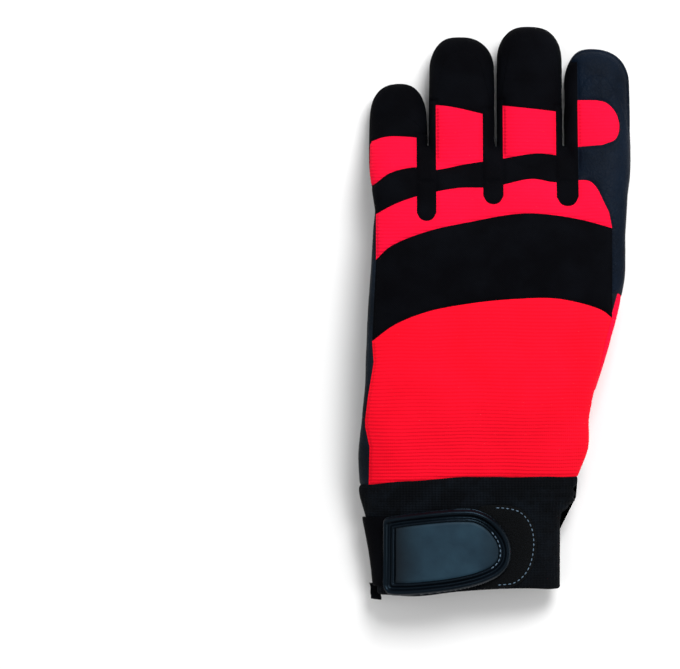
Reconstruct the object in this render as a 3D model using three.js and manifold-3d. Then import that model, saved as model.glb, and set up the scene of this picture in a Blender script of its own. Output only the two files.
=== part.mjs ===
// A left-hand chainsaw glove lying palm down, with its thumb folded under the palm.
// Units are millimetres. X runs across the hand towards the index finger, Y from the cuff towards the
// fingertips, and Z up, from the surface that the glove lies on to the back of the hand.
// The glove is a hollow skin: a hand tube, four finger tubes and a thumb tube are joined, hollowed by the
// same tubes one wall smaller, and cut into the sewn panels. Pads, strap and tab are layers laid on it.
import * as THREE from 'three';
import { mergeVertices } from 'three/addons/utils/BufferGeometryUtils.js';
import Module from 'manifold-3d';

const wasm = await Module();
wasm.setup();

// Driving sizes
const PALM_LENGTH = 144;
const PALM_WIDTH = 121;
const PALM_THICKNESS = 25;
const CUFF_LENGTH = 56;
const CUFF_WIDTH = 85.6;
const CUFF_THICKNESS = 24;
const CUFF_SHIFT = -9.8;
const WRIST_WIDTH = 102.9;
const WRIST_SHIFT = -10;
const FINGER_GAP = 0.8;
const FINGER_TIP_ROUND = 15;
const FINGER_ROOT_DEPTH = 18;
const FINGER_SEAM_SETBACK = 4;
const THUMB_LENGTH = 114;
const THUMB_WIDTH = 40;
const THUMB_THICKNESS = 14;
const THUMB_ANGLE = -36;
const SKIN_WALL = 2;
const CUFF_WALL = 2.4;
const SEAM_GAP = 0.3;
const PAD_THICKNESS = 2.2;
const FINGER_PAD_THICKNESS = 1.2;
const FOLD_CLEARANCE = 0.6;
const LOOP_PATCH_THICKNESS = 1.2;
const LOOP_PATCH_SHOWS = 12;
const LOOP_PATCH_WIDTH = 36;
const STRAP_THICKNESS = 2;
const STRAP_WIDTH = 33;
const STRAP_CENTRE_Y = 22;
const STRAP_END_SETBACK = 9.75;
const TAB_THICKNESS = 1.6;
const TAB_LENGTH = 58.5;
const TAB_SETBACK = 2.5;
const TAB_WIDTH = 39;
const TAB_RIM_WIDTH = 4.5;
const TAB_RIM_HEIGHT = 1.8;
const TAB_FIELD_THICKNESS = 1;
const TAIL_WIDTH = 5;
const TAIL_LENGTH = 7;
const TAIL_THICKNESS = 3;
const REST_FLAT = 0.4;

// width, length beyond the palm, thickness and sideways lean of the tip, from the little finger on, and
// whether a pad covers the fingertip
const FINGERS = [
  { name: 'little', width: 27.3, length: 42, thickness: 17, lean: 0.5, pad: true },
  { name: 'ring', width: 31.1, length: 64, thickness: 18.5, lean: -0.8, pad: true },
  { name: 'middle', width: 31.1, length: 69, thickness: 19, lean: -0.3, pad: true },
  { name: 'index', width: 30.5, length: 58, thickness: 19, lean: -3, pad: false },
];

// The folded thumb and the pads above it lift the palm this far off the surface.
const PALM_LIFT = THUMB_THICKNESS + FOLD_CLEARANCE + PAD_THICKNESS + SEAM_GAP;
const FINGERTIP_LIFT = FINGER_PAD_THICKNESS + SEAM_GAP;
const WRIST_Y = CUFF_LENGTH;
const ROOTS_Y = CUFF_LENGTH + PALM_LENGTH;
const FRONT_SEAM_Y = ROOTS_Y - FINGER_SEAM_SETBACK;

// Cross-sections of the hand, from the wrist seam to the finger roots: along in palm lengths, left and
// right edges in palm widths, wrist for the share taken from the wrist's own edges, lift in palm lifts,
// thick in palm thicknesses. The last two close the hand between the fingers.
const HAND_SECTIONS = [
  { along: 0.0, left: -0.508, right: 0.342, wrist: 1.0, lift: 0.27, thick: 0.98 },
  { along: 0.097, left: -0.517, right: 0.423, wrist: 0.5, lift: 0.56, thick: 0.98 },
  { along: 0.2, left: -0.498, right: 0.395, wrist: 0.2, lift: 0.86, thick: 0.99 },
  { along: 0.306, left: -0.488, right: 0.41, wrist: 0.0, lift: 1.0, thick: 1.0 },
  { along: 0.41, left: -0.484, right: 0.45, wrist: 0.0, lift: 1.0, thick: 1.02 },
  { along: 0.514, left: -0.478, right: 0.487, wrist: 0.0, lift: 1.0, thick: 1.02 },
  { along: 0.618, left: -0.471, right: 0.512, wrist: 0.0, lift: 1.0, thick: 1.0 },
  { along: 0.826, left: -0.453, right: 0.521, wrist: 0.0, lift: 0.95, thick: 0.95 },
  { along: 0.917, left: -0.446, right: 0.528, wrist: 0.0, lift: 0.8, thick: 0.93 },
  { along: 1.0, left: -0.459, right: 0.532, wrist: 0.0, lift: 0.66, thick: 0.82 },
  { along: 1.05, left: -0.42, right: 0.5, wrist: 0.0, lift: 0.7, thick: 0.6 },
  { along: 1.085, left: -0.37, right: 0.45, wrist: 0.0, lift: 0.8, thick: 0.36 },
];
const ROOT_SECTION = HAND_SECTIONS.findIndex((s) => s.along === 1);

// Cross-sections of the cuff from its opening: along in cuff lengths, left and right for the share of the
// way from the opening's edges to the wrist's, swell for the same in height. The right edge has a gather.
const CUFF_SECTIONS = [
  { along: 0.0, left: 0.0, right: 0.0, swell: 0.0 },
  { along: 0.35, left: 0.22, right: 0.0, swell: 0.03 },
  { along: 0.71, left: 0.65, right: 0.13, swell: 0.42 },
  { along: 0.77, left: 0.74, right: 0.54, swell: 0.52 },
  { along: 0.83, left: 0.82, right: 0.83, swell: 0.63 },
  { along: 0.89, left: 0.9, right: 0.78, swell: 0.76 },
  { along: 1.0, left: 1.0, right: 1.0, swell: 1.0 },
];

// How a finger droops from the knuckles to the surface: along in finger lengths, droop in root heights,
// wide in finger widths.
const FINGER_SECTIONS = [
  { along: 0.0, droop: 1.0, wide: 0.98 },
  { along: 0.2, droop: 0.71, wide: 1.0 },
  { along: 0.45, droop: 0.32, wide: 1.0 },
];
const FINGER_TIP_ANGLES = [0, 32, 56, 76];
const TIP_DROOP = 0.04;
const PARTING_FINGER = 'middle';
// The finger tubes start inside the hand, a little narrower, on the way up to the knuckles.
const FINGER_ROOT_RISE = 0.7;
const FINGER_ROOT_SHARE = 0.8;

// Cross-sections of the thumb from its tip to where it runs into the hand: along in thumb lengths, low and
// high edges across in thumb widths, base and top in thumb thicknesses.
const THUMB_SECTIONS = [
  { along: 0.0, low: -0.12, high: 0.24, base: 0.34, top: 0.56 },
  { along: 0.04, low: -0.25, high: 0.35, base: 0.09, top: 0.79 },
  { along: 0.13, low: -0.42, high: 0.42, base: 0.0, top: 0.92 },
  { along: 0.22, low: -0.49, high: 0.44, base: 0.0, top: 0.98 },
  { along: 0.4, low: -0.545, high: 0.445, base: 0.0, top: 1.0 },
  { along: 0.52, low: -0.59, high: 0.54, base: 0.0, top: 1.03 },
  { along: 0.62, low: -0.66, high: 0.7, base: 0.02, top: 1.16 },
  { along: 0.71, low: -0.74, high: 0.82, base: 0.1, top: 1.48 },
  { along: 0.79, low: -0.83, high: 0.85, base: 0.27, top: 1.8 },
  { along: 0.88, low: -0.92, high: 0.66, base: 0.56, top: 2.05 },
  { along: 0.95, low: -0.85, high: 0.24, base: 0.92, top: 2.1 },
  { along: 1.0, low: -0.62, high: -0.2, base: 1.3, top: 2.0 },
];
const THUMB_TIP = { across: -0.314, along: 0.806 };
// Height of the seam that runs round the thumb between its back and its front: along in thumb lengths,
// height in thumb thicknesses.
const THUMB_SEAM = [
  { along: -0.2, height: 0.45 },
  { along: 0.5, height: 0.52 },
  { along: 0.7, height: 0.78 },
  { along: 0.8, height: 1.0 },
  { along: 0.95, height: 1.3 },
  { along: 1.3, height: 1.5 },
];

// Facets round each tube, outside and inside
const HAND_SIDES = { outside: 28, inside: 18 };
const FINGER_SIDES = { outside: 12, inside: 8 };
const THUMB_SIDES = { outside: 14, inside: 10 };
const CUFF_SIDES = { outside: 26, inside: 18 };
const HAND_SQUARENESS = 2.4;
const FINGER_SQUARENESS = 2.3;
const OUTSIDE = 90;
const FAR_Y = ROOTS_Y + 3 * OUTSIDE;

// Seams on the back of the hand, each from the little finger's side to the index finger's, in shares of
// the palm's width and length.
const BAND_BOTTOM = [
  { across: -0.458, along: 0.45 },
  { across: -0.373, along: 0.502 },
  { across: -0.245, along: 0.545 },
  { across: -0.078, along: 0.572 },
  { across: 0.091, along: 0.586 },
  { across: 0.26, along: 0.587 },
  { across: 0.427, along: 0.551 },
  { across: 0.47, along: 0.525 },
];
const BAND_TOP = [
  { across: -0.443, along: 0.714 },
  { across: -0.388, along: 0.757 },
  { across: -0.245, along: 0.806 },
  { across: -0.078, along: 0.837 },
  { across: 0.091, along: 0.862 },
  { across: 0.194, along: 0.863 },
  { across: 0.344, along: 0.845 },
  { across: 0.47, along: 0.817 },
];
const KNUCKLE_TOP = [
  { across: -0.443, along: 0.863 },
  { across: -0.373, along: 0.894 },
  { across: -0.287, along: 0.92 },
  { across: -0.128, along: 0.947 },
  { across: 0.0, along: 0.95 },
  { across: 0.159, along: 0.977 },
  { across: 0.25, along: 0.966 },
  { across: 0.381, along: 0.971 },
];
const KNUCKLE_SIDE = [
  { across: 0.412, along: 0.947 },
  { across: 0.437, along: 0.905 },
  { across: 0.458, along: 0.869 },
];
const STRIPE_START = { across: -0.6, along: 0.84 };
const STRIPE_TOP = [
  { across: -0.6, along: 0.9 },
  { across: -0.458, along: 0.956 },
  { across: -0.388, along: 0.997 },
  { across: -0.287, along: 1.016 },
  { across: -0.217, along: 1.007 },
  { across: -0.094, along: 1.026 },
  { across: 0.047, along: 1.044 },
  { across: 0.183, along: 1.061 },
  { across: 0.28, along: 1.053 },
];
const BACK_LEFT = [
  { across: -0.6, along: 0.0 },
  { across: -0.6, along: 0.12 },
  { across: -0.488, along: 0.15 },
  { across: -0.485, along: 0.202 },
  { across: -0.474, along: 0.274 },
  { across: -0.452, along: 0.381 },
];
const BACK_RIGHT = [
  { across: 0.446, along: 0.45 },
  { across: 0.427, along: 0.368 },
  { across: 0.408, along: 0.306 },
  { across: 0.395, along: 0.26 },
  { across: 0.7, along: 0.2 },
  { across: 0.7, along: 0.0 },
];
// Where the thumb's back wraps round the side of the hand
const THUMB_WRAP = [
  { across: 0.492, along: 0.593 },
  { across: 0.7, along: 0.56 },
  { across: 0.7, along: 0.24 },
];

// The seam between the thumb's back and its front, on the side away from the palm
const THUMB_BACK_SEAM = [
  { across: 0.47, along: 0.54 },
  { across: 0.366, along: 0.491 },
  { across: 0.25, along: 0.475 },
  { across: 0.135, along: 0.491 },
  { across: 0.019, along: 0.556 },
  { across: -0.058, along: 0.621 },
  { across: -0.096, along: 0.702 },
  { across: -0.127, along: 0.783 },
  { across: -0.142, along: 0.841 },
];
const THUMB_BACK_OUTSIDE = [
  { across: -0.22, along: 0.98 },
  { across: -0.5, along: 0.95 },
  { across: -0.5, along: 0.6 },
  { across: -0.05, along: 0.15 },
  { across: 0.1, along: 0.0 },
  { across: 0.7, along: 0.0 },
  { across: 0.7, along: 0.54 },
];
// The index finger's leather reaches down the side of the hand.
const INDEX_SEAM = [
  { across: 0.28, along: 0.94 },
  { across: 0.347, along: 0.902 },
  { across: 0.404, along: 0.847 },
  { across: 0.424, along: 0.783 },
  { across: 0.416, along: 0.734 },
  { across: 0.446, along: 0.604 },
  { across: 0.7, along: 0.604 },
];

// Pads on the palm
const HEEL_PAD_OUTER = [
  { across: -0.443, along: 0.572 },
  { across: -0.39, along: 0.6 },
  { across: -0.25, along: 0.604 },
  { across: -0.15, along: 0.55 },
  { across: -0.116, along: 0.459 },
  { across: -0.143, along: 0.313 },
  { across: -0.192, along: 0.184 },
  { across: -0.289, along: 0.126 },
  { across: -0.366, along: 0.135 },
  { across: -0.424, along: 0.249 },
  { across: -0.45, along: 0.41 },
];
const HEEL_PAD_THUMB = [
  { across: -0.096, along: 0.459 },
  { across: -0.055, along: 0.51 },
  { across: 0.0, along: 0.47 },
  { across: 0.05, along: 0.36 },
  { across: 0.12, along: 0.23 },
  { across: 0.125, along: 0.168 },
  { across: -0.019, along: 0.126 },
  { across: -0.096, along: 0.135 },
  { across: -0.145, along: 0.19 },
];
const UPPER_PAD = [
  { across: -0.212, along: 0.863 },
  { across: -0.192, along: 0.96 },
  { across: -0.135, along: 0.999 },
  { across: -0.077, along: 0.928 },
  { across: -0.05, along: 0.863 },
  { across: 0.0, along: 0.854 },
  { across: 0.039, along: 0.896 },
  { across: 0.077, along: 0.96 },
  { across: 0.123, along: 1.02 },
  { across: 0.166, along: 0.993 },
  { across: 0.181, along: 0.928 },
  { across: 0.204, along: 0.88 },
  { across: 0.25, along: 0.857 },
  { across: 0.327, along: 0.841 },
  { across: 0.385, along: 0.815 },
  { across: 0.4, along: 0.766 },
  { across: 0.37, along: 0.7 },
  { across: 0.28, along: 0.655 },
  { across: 0.05, along: 0.66 },
  { across: -0.12, along: 0.72 },
  { across: -0.2, along: 0.79 },
];
const SIDE_PAD = { across: -0.385, along: 0.779, wide: 0.066, long: 0.126 };

// Strips between the fingers, from the little finger's side on: how much of the finger before the gap and
// of the one after it a strip covers, in finger widths, where its foot starts on the back, in palm lengths,
// and how far up those two fingers its sides reach, in finger lengths.
const STRIPS = [
  { name: 'fourchette_little_ring', before: 0.185, after: 0.105, foot: 0.84, upBefore: 0.39, upAfter: 0.5 },
  { name: 'fourchette_ring_middle', before: 0.19, after: 0.09, foot: 0.894, upBefore: 0.42, upAfter: 0.46 },
  { name: 'fourchette_middle_index', before: 0.11, after: 0.2, foot: 0.888, upBefore: 0.41, upAfter: 0.9 },
];
// The rounded foot of a strip on the back of the hand: across and along, both in the strip's width
const STRIP_FOOT = [
  { across: 0.0, along: 0.42 },
  { across: 0.2, along: 0.1 },
  { across: 0.5, along: 0.0 },
  { across: 0.8, along: 0.1 },
  { across: 1.0, along: 0.42 },
];

// Tops of the red finger panels: across in finger widths, along in finger lengths
const FINGER_PANEL_TOPS = {
  little: [
    { across: -0.4, along: 0.26 },
    { across: 0.02, along: 0.345 },
    { across: 0.3, along: 0.4 },
    { across: 0.9, along: 0.385 },
    { across: 1.2, along: 0.36 },
  ],
  ring: [
    { across: -0.1, along: 0.505 },
    { across: 0.3, along: 0.485 },
    { across: 0.9, along: 0.42 },
    { across: 1.1, along: 0.4 },
  ],
  middle: [
    { across: -0.1, along: 0.465 },
    { across: 0.4, along: 0.44 },
    { across: 1.1, along: 0.405 },
  ],
};
const INDEX_PATCH = [
  { across: -0.1, along: 0.19 },
  { across: 0.58, along: 0.222 },
  { across: 0.78, along: 0.27 },
  { across: 0.84, along: 0.37 },
  { across: 0.78, along: 0.49 },
  { across: 0.64, along: 0.565 },
  { across: 0.5, along: 0.585 },
  { across: -0.1, along: 0.59 },
];
// Pads on the finger fronts, from one share of the finger's length to another
const FINGER_PADS = [
  { name: 'little_tip_pad', finger: 0, from: 0.19, to: 0.97 },
  { name: 'ring_tip_pad', finger: 1, from: 0.46, to: 0.98 },
  { name: 'middle_tip_pad', finger: 2, from: 0.42, to: 0.98 },
  { name: 'ring_middle_pad', finger: 1, from: 0.13, to: 0.32 },
  { name: 'middle_middle_pad', finger: 2, from: 0.15, to: 0.33 },
];
const FINGER_PAD_EDGE = 0.1;
const FINGER_PAD_DROP = 1;
const FINGER_PAD_CORNER = 3;
// Flex slots in the index finger's leather, filled with cloth: from and to in finger lengths, reach in
// finger widths from the middle finger's side
const FLEX_SLOT_START = -0.3;
const FLEX_SLOTS = [
  { name: 'index_flex_lower', from: 0.09, to: 0.205, reach: 0.72 },
  { name: 'index_flex_upper', from: 0.45, to: 0.56, reach: 0.76 },
];

const COLOURS = {
  red: { color: 0xfc1038, roughness: 0.85, metalness: 0 },
  black: { color: 0x0a0a0c, roughness: 0.9, metalness: 0 },
  leather: { color: 0x213545, roughness: 0.6, metalness: 0 },
  pad: { color: 0x172838, roughness: 0.55, metalness: 0 },
  rubber: { color: 0x18242e, roughness: 0.45, metalness: 0 },
  field: { color: 0x203745, roughness: 0.35, metalness: 0 },
};
const materials = Object.fromEntries(
  Object.entries(COLOURS).map(([name, look]) => [name, new THREE.MeshStandardMaterial(look)]),
);

const mix = (a, b, share) => a + (b - a) * share;
const radians = THREE.MathUtils.degToRad;
const HALF_GAP = SEAM_GAP / 2;

// A place on the palm or the back of the hand, from shares of the palm's width and length
const onHand = ({ across, along }) => new THREE.Vector2(across * PALM_WIDTH, WRIST_Y + along * PALM_LENGTH);

// A three.js geometry as a manifold-3d solid
function solidOf(geometry) {
  const bare = geometry.clone();
  bare.deleteAttribute('normal');
  bare.deleteAttribute('uv');
  const merged = mergeVertices(bare, 1e-4);
  return new wasm.Manifold(
    new wasm.Mesh({
      numProp: 3,
      vertProperties: merged.attributes.position.array,
      triVerts: new Uint32Array(merged.index.array),
    }),
  );
}

// A manifold-3d solid as a named mesh
function meshOf(name, solid, material) {
  const { vertProperties, triVerts } = solid.getMesh();
  const geometry = new THREE.BufferGeometry();
  geometry.setAttribute('position', new THREE.BufferAttribute(new Float32Array(vertProperties), 3));
  geometry.setIndex(new THREE.BufferAttribute(triVerts, 1));
  const faceted = geometry.toNonIndexed();
  faceted.computeVertexNormals();
  const mesh = new THREE.Mesh(faceted, material);
  mesh.name = name;
  return mesh;
}

// A closed solid through rings of points, each ring in the same order, with flat ends
function loft(rings) {
  const sides = rings[0].length;
  const faces = [];
  for (let r = 0; r + 1 < rings.length; r += 1) {
    for (let i = 0; i < sides; i += 1) {
      const a = r * sides + i;
      const b = r * sides + ((i + 1) % sides);
      faces.push(a, b, b + sides, a, b + sides, a + sides);
    }
  }
  const last = (rings.length - 1) * sides;
  for (let i = 1; i + 1 < sides; i += 1) {
    faces.push(0, i + 1, i, last, last + i, last + i + 1);
  }
  const geometry = new THREE.BufferGeometry().setFromPoints(rings.flat());
  geometry.setIndex(faces);
  return solidOf(geometry);
}

// A rounded ring round a centre, square to the heading, from its half sizes across and up
function ring(centre, heading, halfWidth, halfHeight, sides, squareness) {
  const across = new THREE.Vector3(heading.y, -heading.x, 0);
  const power = 2 / squareness;
  return Array.from({ length: sides }, (_, i) => {
    const angle = (-2 * Math.PI * i) / sides;
    const c = Math.cos(angle);
    const s = Math.sin(angle);
    const side = Math.sign(c) * Math.abs(c) ** power * halfWidth;
    const up = Math.sign(s) * Math.abs(s) ** power * halfHeight;
    return centre.clone().addScaledVector(across, side).setZ(centre.z + up);
  });
}

// A straight-sided solid over an outline on the ground plane
function prism(outline, low = -OUTSIDE, high = OUTSIDE) {
  const geometry = new THREE.ExtrudeGeometry(new THREE.Shape(outline), {
    depth: high - low,
    bevelEnabled: false,
  });
  geometry.translate(0, 0, low);
  return solidOf(geometry);
}

// The space above a line of distances and heights: the line runs from a start along a heading, and the
// space reaches far to both sides of it.
function spaceAbove(line, lift, start, heading) {
  const edge = line.map(([distance, z]) => new THREE.Vector2(distance, z + lift));
  const top = [new THREE.Vector2(line.at(-1)[0], OUTSIDE), new THREE.Vector2(line[0][0], OUTSIDE)];
  const geometry = new THREE.ExtrudeGeometry(new THREE.Shape([...edge, ...top]), {
    depth: 4 * OUTSIDE,
    bevelEnabled: false,
  });
  geometry.translate(0, 0, -2 * OUTSIDE);
  const up = new THREE.Vector3(0, 0, 1);
  const place = new THREE.Matrix4().makeBasis(heading, up, heading.clone().cross(up));
  place.setPosition(start.x, start.y, 0);
  return solidOf(geometry.applyMatrix4(place));
}

// An outline moved outwards by a distance, or inwards if it is negative
function grown(outline, distance) {
  const turn = THREE.ShapeUtils.area(outline) > 0 ? 1 : -1;
  return outline.map((point, i) => {
    const before = outline.at(i - 1);
    const after = outline[(i + 1) % outline.length];
    const one = point.clone().sub(before).normalize();
    const two = after.clone().sub(point).normalize();
    const normal = new THREE.Vector2(one.y + two.y, -one.x - two.x).normalize();
    const stretch = Math.max(normal.dot(new THREE.Vector2(one.y, -one.x)), 0.5);
    return point.clone().addScaledVector(normal, (turn * distance) / stretch);
  });
}

// A smooth line through a few places on the hand, or a closed one
function smooth(points, steps, closed = false) {
  const curve = new THREE.CatmullRomCurve3(
    points.map((p) => new THREE.Vector3(p.x, p.y, 0)),
    closed,
    'centripetal',
  );
  const line = curve.getPoints(steps).map((p) => new THREE.Vector2(p.x, p.y));
  return closed ? line.slice(0, -1) : line;
}
const seam = (places, steps) => smooth(places.map(onHand), steps);

// The largest body of a solid: what a cut leaves behind of a thin edge is dropped.
function largest(solid) {
  return solid.decompose().reduce((most, body) => (body.volume() > most.volume() ? body : most));
}
const joined = (solids) => solids.reduce((sum, solid) => sum.add(solid));

// The hand and the cuff, as boxes along Y
const edgeAt = (shift, width, side) => shift + (side * width) / 2;
const wristLeft = edgeAt(WRIST_SHIFT, WRIST_WIDTH, -1);
const wristRight = edgeAt(WRIST_SHIFT, WRIST_WIDTH, 1);
const handBoxes = HAND_SECTIONS.map((s) => ({
  y: WRIST_Y + s.along * PALM_LENGTH,
  left: mix(s.left * PALM_WIDTH, wristLeft, s.wrist),
  right: mix(s.right * PALM_WIDTH, wristRight, s.wrist),
  low: s.lift * PALM_LIFT,
  high: s.lift * PALM_LIFT + s.thick * PALM_THICKNESS,
}));
const cuffBoxes = CUFF_SECTIONS.map((s) => ({
  y: s.along * CUFF_LENGTH,
  left: mix(edgeAt(CUFF_SHIFT, CUFF_WIDTH, -1), wristLeft, s.left),
  right: mix(edgeAt(CUFF_SHIFT, CUFF_WIDTH, 1), wristRight, s.right),
  low: s.swell * handBoxes[0].low,
  high: mix(CUFF_THICKNESS, handBoxes[0].high, s.swell),
}));
const FORWARD = new THREE.Vector3(0, 1, 0);
const middleOf = (box) => (box.low + box.high) / 2;

// A tube through boxes along Y, with its sides moved outwards by a distance, and its first and last
// sections moved along Y
function tube(boxes, sides, outwards, firstBy = 0, lastBy = 0) {
  return loft(
    boxes.map((box, i) => {
      const shift = i === 0 ? firstBy : Number(i === boxes.length - 1) * lastBy;
      const centre = new THREE.Vector3((box.left + box.right) / 2, box.y + shift, middleOf(box));
      const halfWidth = (box.right - box.left) / 2 + outwards;
      const halfHeight = (box.high - box.low) / 2 + outwards;
      return ring(centre, FORWARD, halfWidth, halfHeight, sides, HAND_SQUARENESS);
    }),
  );
}
const handTube = (outwards) => tube(handBoxes, HAND_SIDES.outside, outwards, HALF_GAP, Math.min(outwards, 0));
const handHollow = tube(handBoxes, HAND_SIDES.inside, -SKIN_WALL, -SKIN_WALL, -SKIN_WALL);
const cuffTube = (outwards) => tube(cuffBoxes, CUFF_SIDES.outside, outwards, 0, -HALF_GAP);
const cuffHollow = tube(cuffBoxes, CUFF_SIDES.inside, -CUFF_WALL, -CUFF_WALL, CUFF_WALL);

// The fingers stand in a row across the finger roots.
const rootBox = handBoxes[ROOT_SECTION];
const rowWidth = FINGERS.reduce((sum, f) => sum + f.width, 0) + FINGER_GAP * (FINGERS.length - 1);
const rowLeft = (rootBox.left + rootBox.right - rowWidth) / 2;
const fingers = [];
for (const finger of FINGERS) {
  const left = fingers.length ? fingers.at(-1).right + FINGER_GAP : rowLeft;
  fingers.push({ ...finger, left, right: left + finger.width, middle: left + finger.width / 2 });
}
const tipHeight = (finger) => (finger.pad ? FINGERTIP_LIFT : 0) + finger.thickness / 2;
const fingerHeight = (finger, droop) => mix(tipHeight(finger), middleOf(rootBox), droop);

// A finger's tube, with its sides moved outwards by a distance
function fingerTube(finger, outwards, sides = FINGER_SIDES.outside) {
  const section = (y, z, share, lean) =>
    ring(
      new THREE.Vector3(finger.middle + lean, y, z),
      FORWARD,
      (finger.width / 2 + outwards) * share,
      (finger.thickness / 2 + outwards) * share,
      sides,
      FINGER_SQUARENESS,
    );
  const rootHeight = mix(middleOf(rootBox), middleOf(handBoxes[ROOT_SECTION - 2]), FINGER_ROOT_RISE);
  const rings = [section(ROOTS_Y - FINGER_ROOT_DEPTH, rootHeight, FINGER_ROOT_SHARE, 0)];
  for (const s of FINGER_SECTIONS) {
    rings.push(section(ROOTS_Y + s.along * finger.length, fingerHeight(finger, s.droop), s.wide, 0));
  }
  const roundFrom = ROOTS_Y + finger.length - FINGER_TIP_ROUND;
  for (const angle of FINGER_TIP_ANGLES) {
    const y = roundFrom + (FINGER_TIP_ROUND + outwards) * Math.sin(radians(angle));
    const share = Math.cos(radians(angle)) ** 0.75;
    rings.push(section(y, fingerHeight(finger, TIP_DROOP * share), share, finger.lean * (1 - share)));
  }
  return loft(rings);
}
// A place on a finger, from shares of its width and its length
const onFinger = (finger, { across, along }) =>
  new THREE.Vector2(mix(finger.left, finger.right, across), ROOTS_Y + along * finger.length);

// The thumb's place, heading and tube
const thumbTip = onHand(THUMB_TIP);
const thumbHeading = new THREE.Vector3(Math.cos(radians(THUMB_ANGLE)), Math.sin(radians(THUMB_ANGLE)), 0);
function thumbTube(outwards, sides = THUMB_SIDES.outside) {
  return loft(
    THUMB_SECTIONS.map((s, i) => {
      const end = i === 0 ? -1 : Number(i === THUMB_SECTIONS.length - 1);
      const distance = s.along * THUMB_LENGTH + end * outwards;
      const across = ((s.low + s.high) / 2) * THUMB_WIDTH;
      const low = s.base * THUMB_THICKNESS;
      const high = s.top * THUMB_THICKNESS;
      const centre = new THREE.Vector3(thumbTip.x, thumbTip.y, (low + high) / 2)
        .addScaledVector(thumbHeading, distance)
        .add(new THREE.Vector3(-thumbHeading.y, thumbHeading.x, 0).multiplyScalar(across));
      const halfWidth = Math.max(((s.high - s.low) * THUMB_WIDTH) / 2 + outwards, 1);
      const halfHeight = Math.max((high - low) / 2 + outwards, 0.5);
      return ring(centre, thumbHeading, halfWidth, halfHeight, sides, FINGER_SQUARENESS);
    }),
  );
}

// The hollow skin, before it is cut into panels
const outside = joined([handTube(0), thumbTube(0), ...fingers.map((f) => fingerTube(f, 0))]);
const hollow = joined([
  handHollow,
  thumbTube(-SKIN_WALL, THUMB_SIDES.inside),
  ...fingers.map((f) => fingerTube(f, -SKIN_WALL, FINGER_SIDES.inside)),
]);
let skin = outside.subtract(hollow);

// The line at mid-height round the hand and a finger, which parts the back from the palm
const partingFinger = fingers.find((f) => f.name === PARTING_FINGER);
const partingLine = [
  [-OUTSIDE, middleOf(handBoxes[0])],
  ...handBoxes.slice(0, ROOT_SECTION + 1).map((box) => [box.y, middleOf(box)]),
  ...FINGER_SECTIONS.slice(1).map((s) => [
    ROOTS_Y + s.along * partingFinger.length,
    fingerHeight(partingFinger, s.droop),
  ]),
  [ROOTS_Y + partingFinger.length + OUTSIDE, tipHeight(partingFinger)],
];
const origin = new THREE.Vector2(0, 0);
const above = (lift) => spaceAbove(partingLine, lift, origin, FORWARD);

// Panels are cut from the skin one after another. A space is a function of how far it is grown: shrunk by
// half a seam it holds the panel, and grown by half a seam it is cleared from the skin.
const pieces = [];
function cut(name, material, space) {
  pieces.push({ name, material, solid: largest(skin.intersect(space(-HALF_GAP))) });
  skin = skin.subtract(space(HALF_GAP));
}
const through = (outline) => (growth) => prism(grown(outline, growth));
const onBack = (outline) => (growth) => prism(grown(outline, growth)).intersect(above(-growth));

// Strips between the fingers
const stripEdges = STRIPS.map((strip, i) => {
  const one = fingers[i];
  const two = fingers[i + 1];
  return {
    ...strip,
    left: one.right - strip.before * one.width,
    right: two.left + strip.after * two.width,
    gap: (one.right + two.left) / 2,
    topLeft: ROOTS_Y + strip.upBefore * one.length,
    topRight: ROOTS_Y + strip.upAfter * two.length,
    footY: WRIST_Y + strip.foot * PALM_LENGTH,
  };
});
for (const strip of stripEdges) {
  const wide = strip.right - strip.left;
  const sides = [
    new THREE.Vector2(strip.right, strip.topRight),
    new THREE.Vector2(strip.gap, strip.topRight),
    new THREE.Vector2(strip.gap, strip.topLeft),
    new THREE.Vector2(strip.left, strip.topLeft),
  ];
  const foot = STRIP_FOOT.map(
    (p) => new THREE.Vector2(strip.left + wide * p.across, strip.footY + wide * p.along),
  );
  const palmFoot = [strip.left, strip.right].map((x) => new THREE.Vector2(x, FRONT_SEAM_Y));
  const tongue = onBack([...foot, ...sides]);
  const walls = through([...palmFoot, ...sides]);
  cut(strip.name, 'black', (growth) => tongue(growth).add(walls(growth)));
}

// Back of the hand
const bandBottom = seam(BAND_BOTTOM, 12);
const bandTop = seam(BAND_TOP, 12);
const knuckleTop = seam([...KNUCKLE_TOP, ...KNUCKLE_SIDE], 16);
const backOutline = [...BACK_LEFT.map(onHand), ...bandBottom, ...BACK_RIGHT.map(onHand)];
cut('back_panel', 'red', onBack(backOutline));
cut('back_band', 'black', onBack([...bandBottom, ...bandTop.toReversed()]));
cut('knuckle_panel', 'red', onBack([...bandTop, ...knuckleTop.toReversed()]));

// Caps, red panels and stripes on the backs of three fingers, from the tip down
const beyond = (line) => [...line, line.at(-1).clone().setY(FAR_Y), line[0].clone().setY(FAR_Y)];
const stripeTop = seam(STRIPE_TOP, 16);
const knuckleArc = knuckleTop.filter((point) => point.x < stripEdges.at(-1).right);
const stripeBottom = [onHand(STRIPE_START), ...knuckleArc];
for (const [name, places] of Object.entries(FINGER_PANEL_TOPS)) {
  const finger = fingers.find((f) => f.name === name);
  const i = fingers.indexOf(finger);
  const left = i ? stripEdges[i - 1].gap : -OUTSIDE;
  const right = stripEdges[i].gap;
  const lane = prism([
    new THREE.Vector2(left, 0),
    new THREE.Vector2(right, 0),
    new THREE.Vector2(right, FAR_Y),
    new THREE.Vector2(left, FAR_Y),
  ]);
  const panelTop = smooth(places.map((place) => onFinger(finger, place)), 6);
  const inLane = (line) => (growth) => onBack(beyond(line))(growth).intersect(lane);
  cut(`${name}_cap`, 'black', inLane(panelTop));
  cut(`${name}_back`, 'red', inLane(stripeTop));
  cut(`${name}_stripe`, 'black', inLane(stripeBottom));
}

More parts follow.
